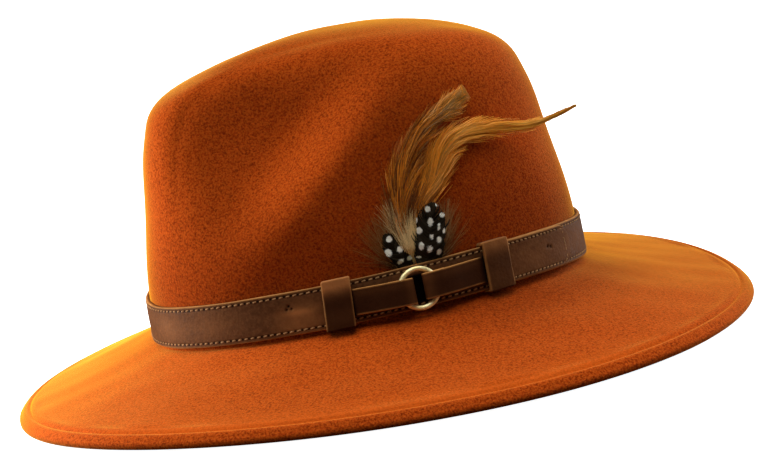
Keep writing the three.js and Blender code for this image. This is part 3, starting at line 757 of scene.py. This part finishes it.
def makeStrapEnd():
    low = band["thickness"] + band["clearance"]
    high = low + endSize["thickness"]
    radius = bandMiddle - endSize["edge"]
    tipMm = bandMm(endSize["to"])
    roundMm = tipMm - radius * 0.8
    swing = np.linspace(0, math.pi / 2, 26)[1:-1]
    straight = np.linspace(bandMm(endSize["from"]), roundMm, 60)
    half = np.concatenate([0 * straight + radius, radius * np.cos(swing) ** 0.85])[:, None]
    mm = np.concatenate([straight, roundMm + (tipMm - roundMm) * np.sin(swing)])[:, None]
    across = np.sin(np.linspace(-math.pi / 2, math.pi / 2, 45))
    rise, mm = bandMiddle + half * across, mm + 0 * across
    inFrom = np.minimum(half - np.abs(rise - bandMiddle), np.maximum(0, tipMm - mm) * 1.2 + 0.02)
    roundOff = 0.5 * ramp(1 - inFrom / 0.7) ** 2
    lowRow, highRow = endSize["stitchIn"], band["height"] - endSize["stitchIn"]
    dip, hole = dips(mm, rise, endHoles, [lowRow, highRow])
    pitch = band["stitchPitch"] * 0.8
    firstMm, turnMm = bandMm(endSize["stitchFrom"]), tipMm - endSize["stitchTip"]
    stitched = (mm < turnMm) * (mm > bandMm(endSize["holesFrom"]))
    for row in (lowRow, highRow):
        hole = np.maximum(hole, stitchHoles(mm, rise, row, pitch, firstMm + pitch / 2) * stitched)
    top = high - roundOff - dip * (inFrom > 0.7) + 0.06 * softField(onBand(mm, rise, 0), 9, 21)
    points = np.stack([onBand(mm, rise, top), onBand(mm, rise, low + 0.05 * roundOff)])
    rows, columns = mm.shape
    count = rows * columns
    faces = gridFaces(rows, columns, closeColumns=False)
    faces += [tuple(reversed(face)) for face in gridFaces(rows, columns, closeColumns=False, start=count)]
    numbers = np.arange(count).reshape(rows, columns)
    loop = [*numbers[0], *numbers[1:, -1], *numbers[-1, -2::-1], *numbers[-2:0:-1, 0]]
    for a, b in zip(loop, loop[1:] + loop[:1]):
        faces.append((b, a, a + count, b + count))
    under = 0 * mm
    makeLeatherPiece("strap_end", points, faces, cut=[0.5 * ramp(1 - inFrom / 0.8), under + 1],
                     rub=[0.1 + rubOf(mm, rise), under], hole=[hole, under])
    # stitches run along the end's edge, across before the tip and back along the lower edge
    lies = high - band["channel"] + 0.1
    straight = np.arange(firstMm, turnMm - 1.2, pitch)
    bend = np.linspace(0.15, 1, 5)[1:4:2] * math.pi / 2
    bendMm, bendRise = turnMm + 2.6 * np.sin(bend), 3.0 * (1 - np.cos(bend))
    slope = np.array([0.6, 1.2])
    upright = np.linspace(highRow - 5.4, lowRow + 5.4, 4)
    stitches = [
        stitchesAt(straight, highRow, lies, slant=-0.2), stitchesAt(straight, lowRow, lies, slant=0.2),
        stitchesAt(bendMm, highRow - bendRise, lies, turned=-slope),
        stitchesAt(bendMm, lowRow + bendRise, lies, turned=slope),
        stitchesAt(turnMm + 2.6 + 0 * upright, upright, lies, turned=math.pi / 2 + 0 * upright),
    ]
    makePiece("strap_end_stitches", *joined(stitches), thread)


makeStrapEnd()

# Loops of leather that stand proud round the strap
keeperSize = {"width": 12.6, "front": 1.7, "back": 0.7, "above": 1.6, "below": 1.0, "room": 4.1,
              "round": 0.8, "edge": 0.9}
# name, degrees, lean, how much the top is rubbed, how dark the leather is painted for the shade it sits in
keepers = [("keeper_front", 75.5, 0.55, 1.5, 0.85), ("keeper_rear", 116, 0.3, 0.7, 0.45)]


# Points round a box with rounded corners: rise and out
def roundedBox(low, high, back, front, radius):
    insides = np.array([(low, back), (high, back), (high, front), (low, front)], float)
    insides += radius * np.array([(1, 1), (-1, 1), (-1, -1), (1, -1)])
    path = []
    for k, steps in enumerate((26, 10, 26, 10)):
        first, second = insides[k], insides[(k + 1) % 4]
        turn = math.pi / 2 * (k - 1) + np.concatenate([np.zeros(steps), math.pi / 2 * np.arange(6) / 6])
        along = np.minimum(1, np.arange(steps + 6) / steps)
        path.append(first + (second - first) * along[:, None] + radius * np.stack([np.cos(turn), np.sin(turn)], -1))
    return np.concatenate(path)


def makeKeeper(name, degrees, lean, topRub, oiled):
    size, clearance = keeperSize, band["clearance"]
    low, high, front = -clearance, band["height"] + clearance, size["room"] + size["front"]
    outer = roundedBox(low - size["below"], high + size["above"], low - size["back"], front, size["round"])
    inner = roundedBox(low, high, low, size["room"], 0.25)
    half, edge = size["width"] / 2, size["edge"]
    swing = np.linspace(0, math.pi / 2, 6)
    side, drop = half - edge * (1 - np.cos(swing)), edge * (1 - np.sin(swing))
    across = np.concatenate([-side, np.linspace(-half + edge, half - edge, 26)[1:-1], side[::-1]])
    middle = outer.mean(0)
    rows, cut, rub = [], [], []
    for offset, sunk in zip(across, np.concatenate([drop, np.zeros(24), drop[::-1]])):
        rise, out = (outer + unit(middle - outer) * sunk).T
        out = out + np.where(out > front - 0.9, 0.18 * (1 - (offset / half) ** 2), 0)
        mm = bandMm(degrees) + offset + lean * (rise - bandMiddle) / bandMiddle
        rows.append(onBand(mm, rise, out + 0.05 * softField(onBand(mm, rise, out), 7, 31)))
        cut.append(0.4 * max(0.0, 1 - (half - abs(offset)) / 0.75) + 0 * out)
        rub.append(topRub * np.exp(-((rise - 20) / 4.2) ** 2) * (out > 3) + 0.05 * np.exp(-((rise - 4) / 4) ** 2))
    rise, out = inner.T
    for offset in across[::-1]:
        mm = bandMm(degrees) + offset + lean * (rise - bandMiddle) / bandMiddle
        rows.append(onBand(mm, rise, out))
        cut.append(0 * out + 0.5)
        rub.append(0 * out)
    faces = gridFaces(len(rows), len(rise), closeRows=True)
    # painted shade: the keeper is darkened all over by the amount given in its row
    makeLeatherPiece(name, rows, faces, cut=cut, rub=rub, oiled=0 * np.array(cut) + oiled)


for keeperRow in keepers:
    makeKeeper(*keeperRow)

# Narrow straps from the keepers, folded back under the ring's wire
tabSize = {"thickness": 1.2, "low": 3.4, "high": 14.9, "edgeRound": 0.42, "foldGap": 5.2,
           "frontLayer": 7.4, "hidden": 8}
# name, side, its keeper's degrees, droop, reach of the keeper's painted shade
ringTabs = [("tab_front", -1, 75.5, 1.2, 1.2), ("tab_rear", 1, 116, 0.4, 3.2)]


def makeTab(name, side, keeperDegrees, droop, shadeReach):
    low, high, halfThick = tabSize["low"], tabSize["high"], tabSize["thickness"] / 2
    centre = bandMm(ringSize["degrees"])
    keeperAway = abs(bandMm(keeperDegrees) - centre)
    back, front = band["thickness"] + band["clearance"] + halfThick, tabSize["frontLayer"]
    radius = (front - back) / 2
    fold = tabSize["foldGap"] / 2 + radius
    leave = keeperAway - keeperSize["width"] / 2
    # away from the ring's middle, out from the strap's inner face
    path = [(keeperAway - 1, back)]
    path += [(leave + (fold - leave) * part, back + (front - back) * lift)
             for part, lift in ((0, 0), (0.3, 0.3), (0.6, 0.78), (0.78, 1))]
    path += [(fold - radius * math.sin(turn), (front + back) / 2 + radius * math.cos(turn))
             for turn in np.linspace(0, math.pi, 9)]
    path.append((fold + tabSize["hidden"], back))
    fine = evenRows(path, count=110)
    fine[:, 1] = np.clip(fine[:, 1], back, front + 0.05)
    alongAway, alongOut = unit(np.gradient(fine, axis=0)).T[:, :, None]
    fineAway, fineOut = fine.T[:, :, None]
    height, lift = stripOutline(low, high, -halfThick, halfThick, tabSize["edgeRound"], 22)
    mm = centre + side * (fineAway + alongOut * lift)
    out = fineOut - alongAway * lift
    rise = height - droop * np.maximum(0, 1 - fineAway / leave)
    points = onBand(mm, rise, out + 0.05 * softField(onBand(mm, rise, out), 6, 41 + side))
    cut = ramp(1 - np.minimum(height - low, high - height) / 0.7)
    bend = np.exp(-((fineAway - tabSize["foldGap"] / 2 - 1) / 2.4) ** 2) * (fineOut > back + 0.4)
    shade = ramp((fineAway - leave) / shadeReach + 1) + 0 * mm  # the tab runs into the shade of its keeper
    rows, columns = mm.shape
    faces = gridFaces(rows, columns)
    faces.append(tuple(range(columns)))
    faces.append(tuple(range(rows * columns - 1, (rows - 1) * columns - 1, -1)))
    # painted shade: the tab is darkened all over, and painted near black where it runs under its keeper
    makeLeatherPiece(name, points, faces, cut=0.8 * cut * (1 - shade), hole=shade, oiled=0 * mm + 0.85,
                     rub=0.12 * bend + 0.08 * np.exp(-((height - 13) / 2) ** 2))


for tabRow in ringTabs:
    makeTab(*tabRow)


def makeRing():
    turns, sides = ringSize["turns"], ringSize["sides"]
    big = np.linspace(0, 2 * math.pi, turns + 1)[:-1, None, None]
    small = np.linspace(0, 2 * math.pi, sides + 1)[:-1, None]
    around, up, out = (v[0] for v in bandFrame(np.radians([ringSize["degrees"]]), np.array([ringSize["rise"]])))
    centre = onBand(bandMm(ringSize["degrees"]), ringSize["rise"], ringSize["out"])
    wireRadius = ringSize["wire"] / 2
    outline = np.cos(big) * around + np.sin(big) * up
    points = centre + outline * (ringSize["radius"] + wireRadius * np.cos(small)) + out * wireRadius * np.sin(small)
    points = points + 0.03 * softField(points, 5, 51)[..., None] * out
    makePiece("ring_brass", points, gridFaces(turns, sides, closeRows=True), brass, "ring", "brass")


makeRing()
print("strap end, keepers, tabs and ring made")


# A place on the crown's side: angle in degrees, rise above the band's lower edge, out from the felt
def onCrown(degrees, rise, out):
    angle, rise, out = np.broadcast_arrays(np.radians(degrees), rise, out)
    foldRise = hat["foldRise"]
    lower = sidePoint(angle, rise, ramp(foldShare(rise)), out, out)
    low = waveHeight(bandWaves, angle) + foldRise
    share = np.full(rise.shape, 0.4)
    for _ in range(7):
        halfLength, halfWidth, power = (np.interp(share, crownRows[:, 0], crownRows[:, c]) for c in (1, 2, 3))
        upper = crownPoint(share, halfLength + out, halfWidth + out, power, angle)
        share = ramp((rise - foldRise) / (crestHeight(upper[..., 0]) - low))
    return np.where((rise <= foldRise)[..., None], lower, upper)


# A feather's own frame along its shaft: centre, across and out at any share of its length
def featherFrame(rows, samples=240):
    rows = np.array(rows, float)
    stations = onCrown(*rows[:, :3].T)
    knots = rowKnots(stations)
    at = np.linspace(0, knots[-1], samples)
    centre = smoothRows(stations, knots, at)
    degrees, rise = np.interp(at, knots, rows[:, 0]), np.interp(at, knots, rows[:, 1])
    around = onCrown(degrees + 1, rise, 0) - onCrown(degrees - 1, rise, 0)
    up = onCrown(degrees, rise + 2, 0) - onCrown(degrees, rise - 2, 0)
    along = unit(np.gradient(centre, axis=0))
    across = unit(np.cross(along, np.cross(around, up)))
    return {"at": at, "centre": centre, "across": across, "out": unit(np.cross(across, along)),
            "half": smoothRows(rows[:, 3:4], knots, at)[:, 0], "length": knots[-1]}


def inFrame(shaft, where, aside, lift):
    centre, across, out = (
        np.stack([np.interp(where, shaft["at"], shaft[key][:, c]) for c in range(3)], -1)
        for key in ("centre", "across", "out"))
    return centre + across * aside[..., None] + out * lift[..., None]


# Flat tapering strands along paths of points (strands, steps, 3), turned to face out
def strandMesh(paths, facing, widths):
    aside = unit(np.cross(unit(np.gradient(paths, axis=1)), facing)) * widths[..., None] / 2
    count, steps = paths.shape[:2]
    points = np.stack([paths - aside, paths + aside], 2).reshape(-1, 3)
    first = (np.arange(count)[:, None] * steps + np.arange(steps - 1)) * 2
    faces = np.stack([first, first + 1, first + 3, first + 2], -1).reshape(-1, 4).tolist()
    return points, faces


def shaftMesh(shaft, thick):
    rows, sides = 60, 6
    where = np.linspace(0, shaft["length"] * 0.97, rows)[:, None]
    taper = thick * (1 - 0.85 * where / shaft["length"])
    turn = np.arange(sides) * math.pi / 3
    points = inFrame(shaft, where + 0 * turn, taper * np.cos(turn), 0.15 + taper * np.sin(turn))
    return points.reshape(-1, 3), gridFaces(rows, sides)


# One feather: barbs leave the shaft on both sides and sweep towards its tip
def makeFeather(name, rows, look, material, slotName, spots=()):
    shaft = featherFrame(rows)
    length, bare, steps = shaft["length"], look["bare"], look["steps"]
    rng = chance(look["seed"])
    t = np.linspace(0, 1, steps)[None]
    pieces, marks = [], {"tone": [], "tip": [], "spot": []}
    for layer, side in ((layer, side) for layer in range(look["layers"]) for side in (-1, 1)):
        count = int((length - bare) * look["perMm"])
        root = bare + (length * 0.985 - bare) * (np.arange(count) + rng.uniform(0, 1, count)) / count
        # barbs hold together in clumps, each with its own tone, reach, turn and side
        clump = np.floor(root / look["clump"] + rng.uniform(0, 1))
        picks = chance(look["seed"] + 7 + layer * 2 + side).uniform(-1, 1, (4, 400))
        clumpTone, clumpReach, clumpTurn, clumpSide = (row[clump.astype(int) % 400][:, None] for row in picks)
        reach = look["reach"] * (1 + look["uneven"] * clumpReach[:, 0] + rng.normal(0, 0.08, count))
        lost = look["tipLoss"] * (0.5 + 0.5 * clumpTurn[:, 0] + 0.25 * rng.uniform(-1, 1, count))
        last = length * (1 - lost) + look["beyond"] * rng.uniform(0, 1, count) ** 3
        end = np.maximum(root + 2, np.minimum(root + reach, last))
        halfEnd = np.interp(np.minimum(end, length), shaft["at"], shaft["half"])[:, None]
        where = root[:, None] + (end - root)[:, None] * t
        loose = rng.uniform(0, 1, (count, 1)) < look["loose"]
        share = 1 - look["locks"] * (0.5 - 0.5 * clumpSide) + look["ragged"] * rng.normal(0, 1, (count, 1))
        aside = side * halfEnd * (share + 0.35 * loose) * np.sin(t * math.pi / 2) ** look["opening"]
        # a few locks leave the outline at their ends
        aside = aside + side * halfEnd * look["stray"] * ramp((clumpSide - 0.62) / 0.38) * t ** 3
        sway = where * 0.35 + clumpTurn * 9 + rng.uniform(0, 2.5, (count, 1))
        aside = aside + look["wander"] * np.sin(sway) * t
        here = np.interp(where, shaft["at"], shaft["half"])
        level = look["lift"] * (layer + rng.uniform(0, 1, (count, 1))) * np.minimum(1, here / 4.5)
        level = level + look["above"] - look["droop"] * (aside / 7) ** 2
        turned = look["turn"] * (clumpTurn + 0.5 * rng.normal(0, 1, (count, 1)))
        turned = turned + 0.5 * np.sin(where * 0.2 + clumpTurn * 3)
        facing = inFrame(shaft, where, np.sin(turned), np.cos(turned)) - inFrame(shaft, where, 0 * aside, 0 * aside)
        width = look["width"] * (1 - 0.8 * t ** 2.2) * rng.uniform(0.8, 1.2, (count, 1))
        pieces.append(strandMesh(inFrame(shaft, where, aside, level), facing + (0, 0, look["skyward"]), width))
        along = where / length
        # painted light, partly the feather's own colour: tone rises towards the outer end, and the tip colour
        # follows, where the hackles reach out into the light
        tone = look["tone"] + look["streaks"] * clumpTone + look["brighten"] * (along - 0.5)
        tone = ramp(tone + rng.normal(0, 0.18, (count, 1)) - look["rootDark"] * (1 - t))
        tip = ramp((along - look["tipFrom"]) / (1 - look["tipFrom"])) * look["tipAmount"]
        spot = 0 * where
        for spotAt, spotAside, halfAlong, halfAcross in spots:
            edge = 1 - np.hypot((where - spotAt) / halfAlong, (aside - spotAside) / halfAcross)
            spot = np.maximum(spot, ramp(edge * 5))
        for key, numbers in (("tone", tone), ("tip", tip), ("spot", spot)):
            marks[key].append(np.repeat(numbers.ravel(), 2))
    pieces.append(shaftMesh(shaft, look["shaft"]))
    for key, value in (("tone", look["shaftTone"]), ("tip", 0), ("spot", 0)):
        marks[key].append(np.full(len(pieces[-1][0]), value))
    makePiece(name + "_barbs", *joined(pieces), material, name, slotName,
              **{key: np.concatenate(numbers) for key, numbers in marks.items()})


# angle, rise, out, half width
guineaFrontRows = [
    (94.1, 12, 1.45, 1.6), (93.8, 17, 1.45, 2.4), (93.3, 20.4, 1.5, 3.2), (92.6, 24, 3.1, 4),
    (91.6, 27.5, 3.4, 4.4), (90.7, 31, 3.2, 4.2), (90, 33.6, 3.15, 2.8), (89.6, 35, 3.15, 0.8),
]
guineaRearRows = [
    (97.8, 12, 1.45, 2.8), (98.3, 17, 1.45, 4.6), (99, 20.4, 1.5, 5.9), (99.4, 24, 3.2, 6.3),
    (100.2, 29, 3.4, 6.5), (101, 34, 3.4, 6.6), (101.7, 39, 3.2, 6), (102.4, 42.4, 3.15, 3.6),
    (102.7, 43.8, 3.15, 0.8),
]
uprightRows = [
    (94.6, 12, 0.6, 0.5), (94.6, 20.4, 0.65, 0.7), (94.5, 24, 2.3, 1.5), (94.2, 28, 2.35, 3),
    (94, 37, 2.35, 4.9), (95, 45, 2.4, 5.9), (96.5, 54, 2.5, 6), (99.5, 65, 2.7, 5.2), (104, 74, 2.8, 3.8),
    (110, 80, 2.8, 3.4), (117.5, 85.5, 2.8, 3), (120, 87, 2.8, 2),
]
sweptRows = [
    (96.2, 12, 0.6, 0.5), (96.2, 20.4, 0.62, 0.6), (96.2, 24, 1.4, 1.1), (96.5, 31, 1.45, 2.6),
    (99.5, 43, 1.45, 5), (106, 56, 1.55, 5.9), (109, 63, 1.6, 5.6), (113, 68, 1.8, 4.8),
    (122, 69.5, 3, 3.9), (127, 69, 4.8, 3), (132, 67.5, 8.6, 2.2), (136.5, 69, 17, 1), (141.5, 73, 28, 0.3),
]
# along the shaft, aside (front of the hat is minus), half length, half width
guineaFrontSpots = [
    (22, 0.5, 1.5, 1.6), (15.5, 1.5, 1.4, 1.6), (17.5, -3.5, 1.8, 1.7), (10, 3, 1.2, 1.5),
    (11, -1.5, 1.3, 1.7),
]
guineaRearSpots = [
    (33.5, 2, 1.5, 1), (30.5, -2, 1.4, 1.4), (26, -7, 1.7, 0.7), (28.5, 5, 1.5, 1.3), (25, -0.5, 2, 1.4),
    (21, -5.5, 1.8, 1.5), (23, 3.5, 1.7, 0.7), (21.5, 6, 1.1, 0.7), (18.5, 0.5, 1.5, 0.7),
    (17.5, 4, 1.5, 1.2), (14.5, -4, 1.6, 1.3), (13.5, 0, 1.3, 1.3), (12.5, 4.5, 1.3, 1.2),
    (9.5, -4.5, 1.3, 1.3),
]
spottedLook = {
    "seed": 5, "layers": 2, "perMm": 3.2, "bare": 2, "clump": 2.2, "reach": 6.5, "beyond": 0.6, "steps": 22,
    "ragged": 0.05, "wander": 0.05, "opening": 0.8, "lift": 0.25, "droop": 0.5, "width": 0.55,
    "tone": 0.5, "rootDark": 0.1, "tipFrom": 0.8, "tipAmount": 0.2, "shaft": 0.28, "shaftTone": 0.4, "turn": 0.3,
    "uneven": 0.12, "locks": 0.05, "loose": 0.02, "above": 0.4, "streaks": 0.2, "tipLoss": 0.03,
    "stray": 0, "brighten": 0, "skyward": 0,
}
uprightLook = {
    "seed": 11, "layers": 6, "perMm": 2.6, "bare": 8, "clump": 2.2, "reach": 34, "beyond": 3, "steps": 20,
    "ragged": 0.07, "wander": 0.6, "opening": 1.2, "lift": 0.34, "droop": 0.5, "width": 0.42,
    "tone": 0.36, "rootDark": 0.1, "tipFrom": 0.8, "tipAmount": 0.3, "shaft": 0.3, "shaftTone": 0.1, "turn": 0.9,
    "uneven": 0.35, "locks": 0.9, "loose": 0.05, "above": 0, "streaks": 0.5, "tipLoss": 0.14,
    "stray": 0.9, "brighten": 0.15, "skyward": 0.15,
}
sweptLook = {
    **uprightLook, "seed": 23, "bare": 10, "clump": 2.6, "reach": 32, "beyond": 1.5, "ragged": 0.06,
    "wander": 0.4, "opening": 1.0, "tone": 0.82, "rootDark": 0.12, "tipFrom": 0.3, "tipAmount": 0.9,
    "shaftTone": 1, "turn": 0.7, "uneven": 0.3, "locks": 0.8, "loose": 0.03, "streaks": 0.4, "tipLoss": 0.06,
    "stray": 0.6, "brighten": 1.5, "skyward": 0.8,
}
makeFeather("guinea_feather_front", guineaFrontRows, spottedLook, spottedBarbs, "spotted_feather", guineaFrontSpots)
makeFeather("guinea_feather_rear", guineaRearRows, {**spottedLook, "seed": 6, "above": 1.9}, spottedBarbs,
            "spotted_feather", guineaRearSpots)
makeFeather("hackle_swept", sweptRows, sweptLook, goldenBarbs, "golden_feather")
makeFeather("hackle_upright", uprightRows, uprightLook, goldenBarbs, "golden_feather")

# Fluff: fine curling strands that fan out of the foot of the bunch
downLook = {"seed": 77, "steps": 10, "out": 0.5, "depth": 1.8, "width": 0.24, "taper": 0.75}
# start angle, start rise, spread of start, heading (0 is up, minus is forward), spread, length,
# curl, count, tone, above
downTufts = [
    (92.2, 19, 1.2, -0.58, 0.28, 26, 0.08, 240, 0.03, 0.4),
    (92.4, 20, 1.4, -0.24, 0.2, 24, 0.04, 200, 0.1, 0.6),
    (93.6, 19, 1.2, -0.1, 0.12, 21, 0.02, 200, 0.4, 1.2),
    (95.4, 19, 0.6, 0.0, 0.09, 23, 0.02, 420, 1.0, 2.4),
    (95, 20, 0.8, -0.14, 0.08, 28, 0, 320, 0.7, 2.2),
    (94.2, 25, 1.4, -0.12, 0.14, 20, 0, 240, 0.5, 0.9),
    (96, 20, 0.9, 0.08, 0.12, 26, 0.02, 200, 0.65, 0.8),
    (101, 18, 1.4, 0.6, 0.28, 25, -0.08, 240, 0.12, 0.4),
    (102.2, 22, 1.4, 0.36, 0.22, 23, -0.04, 200, 0.28, 0.6),
]


def makeDown():
    rng, steps = chance(downLook["seed"]), downLook["steps"]
    t = np.linspace(0, 1, steps)[None]
    pieces, tones, tips = [], [], []
    for degrees, rise, startSpread, heading, spread, length, curl, count, tone, above in downTufts:
        turning = heading + rng.normal(0, spread, (count, 1)) + curl * t * 3
        step = length * rng.uniform(0.35, 1.1, (count, 1)) / (steps - 1)
        turning = turning + rng.normal(0, 0.25, (count, 1)) * t
        turning = (turning + 0.12 * np.sin(t * 9 + rng.uniform(0, 6.28, (count, 1))))[:, :-1]
        ahead, aside = (
            np.concatenate([np.zeros((count, 1)), np.cumsum(part * step, 1)], 1)
            for part in (np.cos(turning), np.sin(turning)))
        place = degrees + rng.normal(0, startSpread * 0.5, (count, 1)) + aside / 1.8
        away = above + downLook["depth"] * rng.uniform(0, 1, (count, 1))
        out = downLook["out"] + away * ramp((ahead + rise - 20) / 6)
        path = onCrown(place, rise + ahead, out)
        width = downLook["width"] * (1 - downLook["taper"] * t) * rng.uniform(0.7, 1.2, (count, 1))
        pieces.append(strandMesh(path, onCrown(place, rise + ahead, out + 1) - path, width))
        tones.append(np.repeat(ramp(tone + rng.normal(0, 0.15, (count, 1)) + 0 * t).ravel(), 2))
        tips.append(np.repeat((t * (1 - tone) * 0.8 + 0 * step).ravel(), 2))
    makePiece("feather_down_strands", *joined(pieces), downBarbs, "feather_down", "brown_down",
              tone=np.concatenate(tones), tip=np.concatenate(tips))


makeDown()
print("feathers made")

# Floor, light and camera
studio = {"floorColour": (0.93, 0.93, 0.93), "floorReach": 14.0, "floorParts": 8,
          "worldColour": (1.0, 1.0, 1.0), "worldStrength": 0.05}


def makeFloor():
    mesh = bpy.data.meshes.new("floor")
    reach, count, colour = studio["floorReach"], studio["floorParts"], studio["floorColour"]
    line = np.linspace(-reach, reach, count)
    mesh.from_pydata([(x, y, 0.0) for x in line for y in line], [], gridFaces(count, count, closeColumns=False))
    material, tree, shader = newMaterial(
        "paleFloor", Roughness=0.9, Specular_IOR_Level=0.1, Emission_Color=(1.0, 1.0, 1.0), Emission_Strength=1.0)
    paler = blendColour(tree, uneven(tree, 400.0, 0.1), colour, tuple(c * 0.985 for c in colour))
    feed(tree, shader.inputs["Base Color"], paler)
    mesh.materials.append(material)
    floor = bpy.data.objects.new("floor", mesh)
    bpy.context.scene.collection.objects.link(floor)
    floor.visible_diffuse = floor.visible_glossy = False  # the pale floor would light up the shaded side
    floor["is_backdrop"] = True


# name, azimuth and height of the source in degrees, softness in degrees, strength
farLamps = [
    ("backRight", 30, 8, 40, 3.4), ("right", 0, 20, 40, 0.75), ("overhead", -90, 85, 60, 2.5),
    ("upperLeft", 180, 60, 60, 0.6),
]
# name, place, size, watts: panels close to the brim's front
nearLamps = [("frontPanel", (-0.36, 0.0, 0.07), 0.15, 0.55), ("behindPanel", (-0.34, 0.1, 0.1), 0.15, 1.25)]
panelsAim = Vector((-0.13, 0, 0.03))


def hangLamp(name, light, place, towards):
    lamp = bpy.data.objects.new(name, light)
    lamp.location = place
    lamp.rotation_euler = towards.to_track_quat("-Z", "Y").to_euler()
    bpy.context.scene.collection.objects.link(lamp)


def makeLamps():
    for name, azimuth, height, softness, strength in farLamps:
        light = bpy.data.lights.new(name, "SUN")
        light.energy = strength
        light.angle = math.radians(softness)
        a, h = math.radians(azimuth), math.radians(height)
        source = Vector((math.cos(a) * math.cos(h), math.sin(a) * math.cos(h), math.sin(h)))
        hangLamp(name, light, source * 2, -source)
    for name, place, size, watts in nearLamps:
        light = bpy.data.lights.new(name, "AREA")
        light.energy = watts
        light.size = size
        hangLamp(name, light, Vector(place), panelsAim - Vector(place))
    world = bpy.data.worlds.new("studioAir")
    world.use_nodes = True
    back = world.node_tree.nodes["Background"]
    back.inputs["Color"].default_value = (*studio["worldColour"], 1)
    back.inputs["Strength"].default_value = studio["worldStrength"]
    bpy.context.scene.world = world
    bpy.context.scene.view_settings.view_transform = "Standard"


shot = {"azimuth": -8.167, "elevation": 12.009, "roll": 10.37, "distance": 1.0, "target": (-0.0029, 0, 0.0314),
        "lens": 97.68, "shiftX": 0.01806, "shiftY": 0.0658}


def makeCamera():
    a, e, roll = (math.radians(shot[key]) for key in ("azimuth", "elevation", "roll"))
    back = Vector((math.sin(a) * math.cos(e), -math.cos(a) * math.cos(e), math.sin(e)))
    right = Vector((math.cos(a), math.sin(a), 0))
    up = back.cross(right)
    tiltedRight = right * math.cos(roll) - up * math.sin(roll)
    tiltedUp = right * math.sin(roll) + up * math.cos(roll)
    camera = bpy.data.cameras.new("camera")
    camera.sensor_width = 36
    camera.lens = shot["lens"]
    camera.shift_x, camera.shift_y = shot["shiftX"], shot["shiftY"]
    camera.clip_start, camera.clip_end = 0.05, 60
    holder = bpy.data.objects.new("camera", camera)
    turn = Matrix((tiltedRight, tiltedUp, back)).transposed().to_4x4()
    turn.translation = Vector(shot["target"]) + back * shot["distance"]
    holder.matrix_world = turn
    bpy.context.scene.collection.objects.link(holder)
    bpy.context.scene.camera = holder


makeFloor()
makeLamps()
makeCamera()
print("studio made")

seenLow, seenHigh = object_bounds()
for label, low, high in (("cad", cadLow, cadHigh), ("visual", seenLow, seenHigh)):
    print(label, "size", [round(h - l, 4) for l, h in zip(low, high)])
